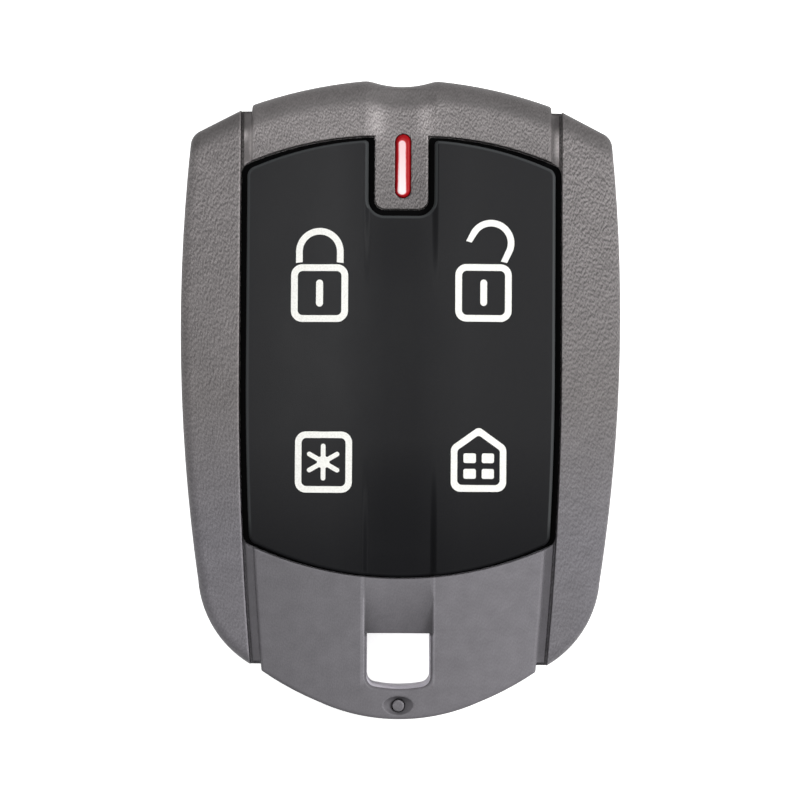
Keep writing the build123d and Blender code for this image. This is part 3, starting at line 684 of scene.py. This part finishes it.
def edge_glints(s, soft_normal):
    """Light on the edges that turn to the right, and a little on those that turn to the left."""
    lean = s.add("ShaderNodeVectorMath")
    lean.operation = "SUBTRACT"
    s.link(soft_normal, lean.inputs[0])
    s.link(s.normal(), lean.inputs[1])
    turned = s.coordinate(lean.outputs["Vector"], "X")
    return [s.ranged(turned, 0.04, 0.5, 1.0, 1.8), s.ranged(turned, -0.5, -0.04, 1.35, 1.0)]


def tinted(s, colour, tail, tone):
    """A colour times a tone, a little cooler towards the tail."""
    red, green, blue = colour
    cool = s.add("ShaderNodeCombineXYZ", X=red)
    s.link(s.ranged(tail, 0.0, 1.0, green, green * TAIL_GREEN), cool.inputs["Y"])
    s.link(s.ranged(tail, 0.0, 1.0, blue, blue * TAIL_BLUE), cool.inputs["Z"])
    scaled = s.add("ShaderNodeVectorMath")
    scaled.operation = "SCALE"
    s.link(cool.outputs["Vector"], scaled.inputs[0])
    s.link(tone, scaled.inputs["Scale"])
    return scaled.outputs["Vector"]


def grained_paint(name, colour, bevel, bezel=False):
    """Grey paint over moulded grain, with painted light and shade: over the grain and along and across the
    fob, painted shade on the bevels, painted highlights on the edges and on the bezel's head, and painted
    light and shade on the tail.
    """
    s = Surface(name)
    size, contrast = BAND_GRAIN if bezel else WING_GRAIN
    crests = s.noise(size, GRAIN_DETAIL, 0.5, GRAIN_STRETCH, GRAIN_TURN)
    shifted_crests = s.noise(size, GRAIN_DETAIL, 0.5, GRAIN_STRETCH, GRAIN_TURN, GRAIN_SHIFT)
    # The grain's relief painted lighter on one side and darker on the other: painted light and shade
    grain_light_and_shade = s.ranged(s.maths("SUBTRACT", crests, shifted_crests), *FOLD_RANGE, -1.0, 1.0)
    fine = s.noise(FINE_GRAIN, rough=0.6)
    shade = bevel(s)
    strength = grain_strength(s, shade, bezel)
    tail = s.ranged(s.along(), *TAIL_FADE_Y, 1.0, 0.0)
    soft_edge = s.add("ShaderNodeBevel", Radius=EDGE_SOFTNESS * MM)
    soft_edge.samples = EDGE_SAMPLES
    soft_normal = soft_edge.outputs["Normal"]
    grain = s.product(grain_light_and_shade, strength, s.ranged(s.wide(), *WINGS_X, contrast * 0.85, contrast * 1.2))
    tones = [
        # painted light and shade along and across the fob
        painted_light_level(s, tail, bezel),
        s.maths("ADD", grain, 1.0),
        s.spread(s.noise(PATCH_SIZE), 0.97, 1.03),
        s.spread(s.noise(CLOUD_SIZE), 0.93, 1.07),
        # painted shade on the bevels, which face away from the light
        s.lighter(shade, BEVEL_GAIN),
        # painted highlights on the edges, most on those that turn to the right
        *edge_glints(s, soft_normal),
        # painted highlights on the bezel's head
        *(head_painted_highlights(s) if bezel else []),
        *tail_painted_light_and_shade(s),
    ]
    tone = s.maths("MINIMUM", s.product(*tones), MOST_LIGHTENED)
    relief = s.maths("ADD", crests, s.maths("MULTIPLY", fine, FINE_SHARE))
    s.set("Base Color", tinted(s, colour, tail, tone))
    s.set("Metallic", 0.0)
    s.set("Specular IOR Level", 0.25)
    s.set("Roughness", s.spread(fine, 0.45, 0.6))
    s.set("Normal", s.bump(relief, GRAIN_DEPTH, strength, under=soft_normal))
    return s.material


def silicone(name, rim=False):
    """Black satin silicone with a very fine tooth and faint handling marks. Its rim is painted paler where
    it faces the sides and the head, as a painted highlight.
    """
    s = Surface(name)
    marks = s.noise(MARK_SIZE, 4.0, 0.6, MARK_STRETCH)
    if rim:
        facing = s.normal()
        sideways = s.maths("ABSOLUTE", s.coordinate(facing, "X"))
        outwards = s.maths("MAXIMUM", sideways, s.coordinate(facing, "Y"))
        # painted highlight on the rim where it faces the sides and the head
        rim_highlight = s.ranged(outwards, 0.05, 0.6, 0.0, 1.0)
        tone = s.product(rim_highlight, s.ranged(s.along(), *RIM_FADE_Y, 0.0, 1.0))
        stops = [(0.0, (0.009, 0.0092, 0.0102)), (1.0, (0.058, 0.062, 0.064))]
    else:
        to_head = s.ranged(s.along(), *PAD_TONE_Y, 0.0, 0.8)
        drift = s.maths("SUBTRACT", to_head, s.maths("MULTIPLY", s.wide(), PAD_TONE_SLOPE))
        tone = s.maths("ADD", drift, s.maths("MULTIPLY", s.maths("SUBTRACT", marks, 0.5), 0.5))
        stops = [(0.0, (0.0065, 0.0066, 0.0076)), (1.0, (0.0125, 0.0126, 0.0138))]
    sheen = s.product(s.ranged(s.side(), *SHEEN_X, 0.07, 0.113), s.ranged(s.along(), *SHEEN_Y, 0.5, 1.0))
    s.set("Base Color", s.colours(tone, stops))
    s.set("Roughness", s.ranged(marks, 0.25, 0.75, 0.42, 0.5))
    s.set("Specular IOR Level", sheen)
    s.set("Normal", s.bump(s.noise(TOOTH_SIZE, rough=0.6), TOOTH_DEPTH))
    return s.material


def gap_shade_silicone(name):
    """The unpolished foot of the pad, deep in its gap, made near black there as painted shade."""
    s = Surface(name)
    tooth = s.noise(DEEP_TOOTH_SIZE, rough=0.6)
    stops = [(0.3, (0.0015, 0.0015, 0.0016)), (0.7, (0.0024, 0.0024, 0.0026))]
    s.set("Base Color", s.colours(tooth, stops))
    s.set("Roughness", s.spread(tooth, 0.85, 0.95))
    s.set("Specular IOR Level", 0.04)
    s.set("Normal", s.bump(tooth, DEEP_TOOTH_DEPTH))
    return s.material


def print_ink(name):
    """Off white pad print that lets a little of the grain through."""
    s = Surface(name)
    cover = s.noise(COVER_SIZE, 3.0, 0.6)
    s.set("Base Color", s.colours(cover, [(0.25, linear(226, 226, 220)), (0.6, linear(247, 247, 242))]))
    s.set("Roughness", s.spread(cover, 0.5, 0.65))
    s.set("Normal", s.bump(cover, COVER_DEPTH))
    return s.material


def red_lens(name):
    """Red light pipe with a painted highlight along its domed face, which is whiter and wider at its tail
    end.
    """
    s = Surface(name)
    wobble = s.maths("MULTIPLY", s.maths("SUBTRACT", s.noise(LENS_WAVES), 0.5), LENS_HIGHLIGHT_WOBBLE)
    across = s.maths("ADD", s.maths("SUBTRACT", s.wide(), LENS_HIGHLIGHT_X), wobble)
    across = s.product(across, s.ranged(s.along(), *LENS_HIGHLIGHT_TAPER_Y, 0.8, 1.0))
    past_head = s.maths("SUBTRACT", s.along(), LENS_HIGHLIGHT_HEAD_Y)
    past_tail = s.maths("SUBTRACT", LENS_HIGHLIGHT_TAIL_Y, s.along())
    past = s.maths("MAXIMUM", s.maths("MAXIMUM", past_head, past_tail), 0.0)
    reach = s.maths("POWER", s.maths("ADD", s.product(across, across), s.product(past, past)), 0.5)
    whiter = s.ranged(s.along(), *LENS_HIGHLIGHT_WHITER_Y, 0.0, 1.0)
    # painted highlight down the middle of the lens, fading into the red at its sides
    lens_highlight = s.mixed(whiter, linear(240, 205, 208), linear(246, 236, 236))
    stops = [(0.3, linear(232, 150, 155)), (0.37, linear(196, 46, 54)), (0.46, linear(160, 14, 22))]
    s.set("Base Color", s.mixed(s.ranged(reach, *LENS_HIGHLIGHT_EDGE, 0.0, 1.0), lens_highlight, s.colours(reach, stops)))
    s.set("Roughness", 0.35)
    s.set("Specular IOR Level", 0.12)
    s.set("Normal", s.bump(s.noise(LENS_GRAIN), PLAIN_DEPTH))
    return s.material


def plain(name, colour, roughness, metallic=0.0, grain=0.3):
    """Simple surface whose tone, roughness and relief vary with a noise of one grain size."""
    s = Surface(name)
    noise = s.noise(grain, detail=3.0)
    darker, paler = shaded(colour, 1 - TONE_CHANGE), shaded(colour, 1 + TONE_CHANGE)
    s.set("Base Color", s.colours(noise, [(0.3, darker), (0.7, paler)]))
    s.set("Metallic", metallic)
    s.set("Roughness", s.spread(noise, roughness - ROUGHNESS_CHANGE, roughness + ROUGHNESS_CHANGE))
    s.set("Normal", s.bump(noise, PLAIN_DEPTH))
    return s.material


def board_laminate(name):
    """Green solder mask with copper tracks showing faintly through."""
    s = Surface(name)
    tracks = s.add("ShaderNodeTexWave", Scale=TRACK_SCALE, Distortion=TRACK_BEND)
    s.link(s.place, tracks.inputs["Vector"])
    raised = tracks.outputs["Fac"]
    s.set("Base Color", s.colours(raised, [(0.55, (0.006, 0.06, 0.022)), (0.62, (0.012, 0.1, 0.035))]))
    s.set("Roughness", s.spread(s.noise(0.5), 0.28, 0.4))
    s.set("Normal", s.bump(raised, TRACK_DEPTH))
    return s.material


wing_colour = linear(116, 112, 112)
band_colour = linear(121, 117, 117)
steel = (0.62, 0.61, 0.58)
looks = {
    "wing_plastic": grained_paint("wing_paint", wing_colour, wing_bevel),
    "back_plastic": grained_paint("back_paint", shaded(wing_colour, 0.85), wing_bevel),
    "bezel_plastic": grained_paint("bezel_paint", band_colour, head_bevel, bezel=True),
    "keypad_silicone": silicone("black_silicone"),
    "red_lens": red_lens("red_lens"),
    "board_laminate": board_laminate("board_laminate"),
    "lamp_resin": plain("lamp_resin", (0.85, 0.82, 0.74), 0.3),
    "switch_plastic": plain("switch_plastic", (0.03, 0.03, 0.03), 0.5),
    "switch_plunger_plastic": plain("switch_plunger_plastic", (0.6, 0.55, 0.42), 0.45),
    "plate_metal": plain("plate_metal", steel, 0.38, 1.0, grain=0.15),
    "spring_metal": plain("spring_metal", (0.68, 0.64, 0.55), 0.25, 1.0, grain=0.4),
    "chip_resin": plain("chip_resin", (0.025, 0.025, 0.028), 0.55, grain=0.1),
    "capacitor_ceramic": plain("capacitor_ceramic", (0.42, 0.27, 0.15), 0.5, grain=0.2),
    "antenna_copper": plain("antenna_copper", (0.83, 0.58, 0.22), 0.3, 1.0, grain=0.3),
    "cell_steel": plain("cell_steel", steel, 0.3, 1.0, grain=0.25),
    "screw_steel": plain("screw_steel", (0.42, 0.42, 0.43), 0.35, 1.0, grain=0.12),
}
slot_of = {entry["node"]: entry["material_slot"] for entry in frame["record"]["subparts"]}
for name, node in nodes.items():
    material = looks[slot_of[name]]
    if not node.data.materials:
        node.data.materials.append(material)
    for place in node.material_slots:
        place.material = material


# Keypad skin: one continuous face, cut into patches so that each key can sink

KEY_INNER = (4.6, 7.0)
KEY_OUTER = (5.3, 7.7)
EDGE_RADIUS = 0.32
EDGE_ANGLES = (0, 18, 36, 54, 72, 90)
CAP_THICKNESS = 1.7
FLANGE_THICKNESS = 0.4

# How far the skirt reaches past the pad's sides, its head, its notch and its tail
SKIRT_REACH = (0.6, 0.35, 0.57, 0.07)

# Grid of the face, and the finer strip of it over the channels
SKIN_LOW = (-15.6, -18.0)
SKIN_HIGH = (15.6, 26.5)
SKIN_STEP = 0.42
STRIP_HALF = 4.2
STRIP_STEP = 0.2
RIM_CLEARANCE = 0.16

# Patches of the face: the still part, then the top and the four flanks of a key, the next key ten further
STILL, TOP, RIGHT, LEFT, HEAD, TAIL = range(6)
KEY_STEP = 10
FLANKS = {RIGHT: ("right", 1, 0), LEFT: ("left", -1, 0), HEAD: ("head", 0, 1), TAIL: ("tail", 0, -1)}


def box_loop(x, y, half_x, half_y):
    """Loop of a plain rectangle with points along its sides."""
    west, east, south, north = x - half_x, x + half_x, y - half_y, y + half_y
    corners = [(west, south), (east, south), (east, north), (west, north)]
    return np.concatenate([line(corners[i], corners[(i + 1) % 4])[:-1] for i in range(4)])


def keypad_skin(rim):
    """Points and triangles of the silicone face inside a rim, and the patch that each triangle is in."""
    spots = grid(SKIN_LOW, SKIN_HIGH, SKIN_STEP)
    strip = grid((-STRIP_HALF, SKIN_LOW[1]), (STRIP_HALF, SKIN_HIGH[1]), STRIP_STEP)
    spots = np.concatenate([spots[np.abs(spots[:, 0]) > STRIP_HALF], strip])
    spots = spots[inside(spots, rim) & clear_of(spots, rim, RIM_CLEARANCE)]
    loops = [rim]
    for x, y in KEYS.values():
        loops += [box_loop(x, y, *KEY_INNER), box_loop(x, y, *KEY_OUTER)]
    points, faces = triangles(loops, spots)
    middles = points[faces].mean(axis=1)
    kept = inside(middles, rim)
    faces, middles = facing_up(points, faces[kept]), middles[kept]
    patch = np.full(len(faces), STILL)
    ring = KEY_OUTER[0] - KEY_INNER[0]
    for number, (x, y) in enumerate(KEYS.values()):
        past_x = np.abs(middles[:, 0] - x) - KEY_INNER[0]
        past_y = np.abs(middles[:, 1] - y) - KEY_INNER[1]
        code = np.where(past_x > past_y, RIGHT, HEAD)
        code = np.where((past_x <= 0) & (past_y <= 0), TOP, code)
        code = np.where((code == RIGHT) & (middles[:, 0] < x), LEFT, code)
        code = np.where((code == HEAD) & (middles[:, 1] < y), TAIL, code)
        patch = np.where((past_x < ring) & (past_y < ring), KEY_STEP * number + code, patch)
    return points, faces, patch


skin_outline = pad_outline()
skin_normal = outward(skin_outline)
skin_points, skin_faces, skin_patch = keypad_skin(skin_outline - skin_normal * EDGE_RADIUS)


def skin_piece(name, patch):
    """One patch of the silicone face."""
    return on_pad(name, *only_used(skin_points, skin_faces[skin_patch == patch]))


skin = [skin_piece("keypad_rest", STILL)]
for number, (key, (x, y)) in enumerate(KEYS.items()):
    top = skin_piece("keypad_key_" + key, KEY_STEP * number + TOP)
    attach(top, "key_" + key)
    skin.append(top)
    for code, (side, way_x, way_y) in FLANKS.items():
        flank = skin_piece("keypad_%s_%s" % (key, side), KEY_STEP * number + code)
        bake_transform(flank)
        skin.append(flank)


def keypad_rim():
    """The pad's rounded edge and the side wall under it, as one band."""
    up = pad_normal(skin_outline[:, 0], skin_outline[:, 1])
    out = np.column_stack([skin_normal, np.zeros(len(skin_normal))])
    rows, normals = [], []
    for angle in np.radians(EDGE_ANGLES):
        flat = skin_outline - skin_normal * EDGE_RADIUS * (1 - math.sin(angle))
        height = pad_height(flat[:, 0], flat[:, 1]) - EDGE_RADIUS * (1 - math.cos(angle))
        rows.append(np.column_stack([flat, height]))
        normals.append(up * math.cos(angle) + out * math.sin(angle))
    foot = rows[-1].copy()
    foot[:, 2] = pad_height(skin_outline[:, 0], skin_outline[:, 1]) - CAP_THICKNESS
    rows.append(foot)
    normals.append(out)
    count = len(skin_outline)
    faces = []
    for row in range(len(rows) - 1):
        faces += band(row * count, (row + 1) * count, count)
    return mesh_object("keypad_rim", np.concatenate(rows), faces, np.concatenate(normals))


def keypad_flange():
    """The thin black skirt of the pad, which fills the foot of the gap round it."""
    outer = pad_outline(*SKIRT_REACH)
    flat, faces = triangles([outer, skin_outline], [])
    middles = flat[faces].mean(axis=1)
    faces = facing_up(flat, faces[inside(middles, outer) & ~inside(middles, skin_outline)])
    top = crown(flat[:, 0], flat[:, 1]) - CAP_THICKNESS + FLANGE_THICKNESS
    foot = crown(outer[:, 0], outer[:, 1]) - CAP_THICKNESS
    rows = [
        np.column_stack([flat, top]),
        np.column_stack([outer, foot + FLANGE_THICKNESS]),
        np.column_stack([outer, foot]),
    ]
    wall = band(len(flat), len(flat) + len(outer), len(outer))
    return mesh_object("keypad_flange", np.concatenate(rows), faces.tolist() + wall)


skin += [keypad_rim(), keypad_flange()]
for piece in (skin[0], skin[-2], skin[-1]):
    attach(piece, ROOT)
pad_looks = {
    # the skirt deep in the gap is painted near black as painted shade
    "keypad_flange": gap_shade_silicone("gap_shade_silicone"),
    "keypad_rim": silicone("rim_silicone", rim=True),
}
for piece in skin:
    piece.data.materials.append(pad_looks.get(piece.name, looks["keypad_silicone"]))
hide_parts("keypad_membrane")
for key in KEYS:
    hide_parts("key_" + key)


# Printed symbols

INK_TRIM = 0.035
INK_HEIGHT = 0.015
INK_STEP = 0.3

# Details of the frames, the shackles, the house and the star
INNER_RADIUS = 0.46
CORNER_POINTS = 9
SHACKLE_POINTS = (40, 34)
PANE_RADIUS = 0.22
PANE_POINTS = 5
HOUSE_SPACING = 0.12
ARM_ANGLES = (90.0, 30.0, -30.0)
ARM_STEP = 1.5

# The symbols are drawn a little too large and too far to the right and the head. These bring them to place.
DRAWN_SHIFT = 0.15
DRAWN_GROWTH = 1.0075


def rounded_box(x, y, width, length, radius, points=CORNER_POINTS):
    """Loop of a rectangle with rounded corners, each drawn with some points."""
    half_x, half_y = width / 2 - radius, length / 2 - radius
    loop = []
    for start, way_x, way_y in ((0, 1, 1), (90, -1, 1), (180, -1, -1), (270, 1, -1)):
        loop.append(arc((x + way_x * half_x, y + way_y * half_y), radius, start, start + 90, points))
    return np.concatenate(loop)


def frame_loops(x, y, width, length, radius, stroke):
    """Outer and inner loop of a rounded frame."""
    inner_radius = max(radius - stroke, INNER_RADIUS)
    inner = rounded_box(x, y, width - 2 * stroke, length - 2 * stroke, inner_radius)
    return [rounded_box(x, y, width, length, radius), inner]


def shackle(centre, radius, stroke, turn, feet):
    """Loop of a half ring with two legs, which end at the outer and inner foot left and right."""
    outer = arc(centre, radius, 180 + turn, turn, SHACKLE_POINTS[0])
    inner = arc(centre, radius - stroke, turn, 180 + turn, SHACKLE_POINTS[1])
    left_outer, left_inner, right_outer, right_inner = feet
    return np.concatenate([[left_outer], outer, [right_outer], [right_inner], inner, [left_inner]])


def asterisk(x, y, half_length, stroke, hub):
    """Loop of three crossed bars with round ends."""
    loop = []
    half = stroke / 2
    reach = half_length - half
    for angle in np.radians(np.arange(0, 360, ARM_STEP)):
        best = hub
        for arm in np.radians(ARM_ANGLES):
            away = (angle - arm + math.pi / 2) % math.pi - math.pi / 2
            sine, cosine = abs(math.sin(away)), math.cos(away)
            if sine * reach <= half * cosine:
                best = max(best, reach * cosine + math.sqrt(max(half**2 - (reach * sine) ** 2, 0.0)))
            else:
                best = max(best, half / sine)
        loop.append((x + best * math.cos(angle), y + best * math.sin(angle)))
    return np.array(loop)


def house(x, base, half, eaves, apex, radii):
    """Loop of a house front. The radii are those of its foot, its eaves and its ridge."""
    corners = [(x - half, base), (x + half, base), (x + half, eaves), (x, apex), (x - half, eaves)]
    runs = [line(corners[i], corners[(i + 1) % 5], HOUSE_SPACING) for i in range(5)]
    foot, eave, ridge = radii
    return joined(runs, [foot, eave, ridge, eave, foot])


def windows(x, left, right, rows):
    """Loops of the four window panes."""
    panes = []
    for low, high in rows:
        for start, end in (left, right):
            middle = (x + (start + end) / 2, (low + high) / 2)
            panes.append(rounded_box(*middle, end - start, high - low, PANE_RADIUS, PANE_POINTS))
    return panes


def trimmed(loops):
    """Loops of a symbol with each stroke drawn in a little on both sides."""
    result = []
    for loop in loops:
        after = np.roll(loop, -1, axis=0)
        turn = np.sign(np.sum(loop[:, 0] * after[:, 1] - after[:, 0] * loop[:, 1]))
        around = sum(int(inside(loop[:1], other)[0]) for other in loops if other is not loop)
        way = -turn if around % 2 else turn
        result.append(loop - outward(loop) * way * INK_TRIM)
    return result


symbols = {
    "lock": [
        *frame_loops(x=-7.98, y=10.66, width=5.78, length=5.84, radius=1.14, stroke=0.74),
        rounded_box(x=-7.98, y=10.66, width=0.77, length=2.78, radius=0.384),
        shackle(
            centre=(-7.98, 14.82),
            radius=2.41,
            stroke=0.73,
            turn=0,
            feet=((-10.39, 13.66), (-9.66, 13.74), (-5.57, 13.66), (-6.30, 13.74)),
        ),
    ],
    "unlock": [
        *frame_loops(x=8.41, y=10.78, width=5.72, length=5.84, radius=1.14, stroke=0.74),
        rounded_box(x=8.43, y=10.80, width=0.75, length=2.72, radius=0.374),
        shackle(
            centre=(9.16, 15.80),
            radius=2.36,
            stroke=0.73,
            turn=-30,
            feet=((6.61, 15.97), (7.21, 15.79), (10.78, 13.78), (10.11, 13.94)),
        ),
    ],
    "star": [
        *frame_loops(x=-7.48, y=-6.23, width=5.77, length=6.18, radius=1.12, stroke=0.72),
        asterisk(x=-7.51, y=-6.23, half_length=1.87, stroke=0.54, hub=0.66),
    ],
    "home": [
        house(x=8.01, base=-9.14, half=2.81, eaves=-4.58, apex=-2.57, radii=(1.0, 0.9, 0.6)),
        house(x=8.01, base=-8.39, half=2.09, eaves=-4.98, apex=-3.49, radii=(0.45, 0.35, 0.35)),
        *windows(x=8.01, left=(-1.55, -0.23), right=(0.28, 1.58), rows=((-6.27, -5.23), (-7.84, -6.78))),
    ],
}
ink = print_ink("print_ink")
for key, drawn in symbols.items():
    loops = trimmed(drawn)
    everything = np.concatenate(loops)
    flat, faces = triangles(loops, grid(everything.min(axis=0), everything.max(axis=0), INK_STEP))
    middles = flat[faces].mean(axis=1)
    filled = np.zeros(len(faces), bool)
    for loop in loops:
        filled ^= inside(middles, loop)
    flat, faces = only_used(flat, facing_up(flat, faces[filled]))
    symbol = on_pad("symbol_" + key, (flat - DRAWN_SHIFT) / DRAWN_GROWTH, faces, INK_HEIGHT)
    symbol.data.materials.append(ink)
    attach(symbol, "key_" + key)


# Floor, light and camera

FLOOR_HALF = 1500.0
FLOOR_Z = -0.02
FLOOR_GREY = (0.86, 0.86, 0.86, 1.0)
FLOOR_GLOW = 0.86
WHITE = (1.0, 1.0, 1.0, 1.0)
WORLD_LIGHT = 0.12
LAMP_TARGET = (0.0, 0.0, 8.0)
FACE_Z = 13.0
CAMERA_XY = (-2.15, -8.15)
CAMERA_TARGET_XY = (-0.02, -0.12)
CAMERA_DISTANCE = 420.0
CAMERA_ROLL = 0.36
SENSOR_WIDTH = 36.0
VIEW_WIDTH = 79.4


def backdrop_share(tree):
    """1 for rays that show the backdrop: from the camera, off gloss or through glass."""
    path = tree.nodes.new("ShaderNodeLightPath")
    shown = path.outputs["Is Camera Ray"]
    for name in ("Is Glossy Ray", "Is Transmission Ray"):
        either = tree.nodes.new("ShaderNodeMath")
        either.operation = "MAXIMUM"
        tree.links.new(shown, either.inputs[0])
        tree.links.new(path.outputs[name], either.inputs[1])
        shown = either.outputs[0]
    return shown


def floor_material():
    """White floor that keeps the object's shadow and shows as the white background."""
    material = bpy.data.materials.new("floor_white")
    material.use_nodes = True
    tree = material.node_tree
    shader = tree.nodes["Principled BSDF"]
    shader.inputs["Base Color"].default_value = FLOOR_GREY
    shader.inputs["Roughness"].default_value = 0.9
    shader.inputs["Specular IOR Level"].default_value = 0.1
    strength = tree.nodes.new("ShaderNodeMath")
    strength.operation = "MULTIPLY"
    strength.inputs[1].default_value = FLOOR_GLOW
    tree.links.new(backdrop_share(tree), strength.inputs[0])
    shader.inputs["Emission Color"].default_value = WHITE
    tree.links.new(strength.outputs[0], shader.inputs["Emission Strength"])
    return material


def add_floor():
    """A wide floor just under the fob's rest face."""
    ways = ((-1, -1), (1, -1), (1, 1), (-1, 1))
    corners = [(x * FLOOR_HALF, y * FLOOR_HALF, FLOOR_Z) for x, y in ways]
    floor = mesh_object("floor", corners, [[0, 1, 2, 3]])
    floor.data.materials.append(floor_material())


def add_softbox(name, place, size, power):
    """A square soft light aimed at the fob."""
    lamp = bpy.data.lights.new(name, "AREA")
    lamp.shape = "SQUARE"
    lamp.size = size * MM
    lamp.energy = power
    obj = bpy.data.objects.new(name, lamp)
    bpy.context.scene.collection.objects.link(obj)
    obj.location = Vector(place) * MM
    obj.rotation_mode = "QUATERNION"
    obj.rotation_quaternion = (Vector(LAMP_TARGET) - Vector(place)).to_track_quat("-Z", "Y")


def add_world():
    """White backdrop for the camera, soft grey light for everything else."""
    world = bpy.data.worlds.new("studio")
    bpy.context.scene.world = world
    world.use_nodes = True
    tree = world.node_tree
    background = tree.nodes["Background"]
    background.inputs["Color"].default_value = WHITE
    choice = tree.nodes.new("ShaderNodeMapRange")
    choice.inputs["To Min"].default_value = WORLD_LIGHT
    choice.inputs["To Max"].default_value = 1.0
    tree.links.new(backdrop_share(tree), choice.inputs["Value"])
    tree.links.new(choice.outputs["Result"], background.inputs["Strength"])


def add_camera():
    """Camera over the face, a little to the left and towards the tail, turned as in the photograph."""
    data = bpy.data.cameras.new("camera")
    camera = bpy.data.objects.new("camera", data)
    bpy.context.scene.collection.objects.link(camera)
    bpy.context.scene.camera = camera
    place = Vector((*CAMERA_XY, FACE_Z + CAMERA_DISTANCE))
    target = Vector((*CAMERA_TARGET_XY, FACE_Z))
    data.sensor_width = SENSOR_WIDTH
    data.lens = SENSOR_WIDTH * CAMERA_DISTANCE / VIEW_WIDTH
    data.dof.use_dof = False
    data.clip_start = 0.01
    data.clip_end = 10.0
    camera.location = place * MM
    camera.rotation_mode = "QUATERNION"
    aim = Vector((0.0, 0.0, -1.0)).rotation_difference(target - place)
    camera.rotation_quaternion = aim @ Quaternion((0.0, 0.0, 1.0), math.radians(CAMERA_ROLL))


add_floor()
add_world()
add_softbox("key_light", place=(330.0, 50.0, 300.0), size=140.0, power=1.25)
add_softbox("top_light", place=(-50.0, 60.0, 480.0), size=200.0, power=1.3)
add_camera()

scene = bpy.context.scene
scene.view_settings.view_transform = "Standard"
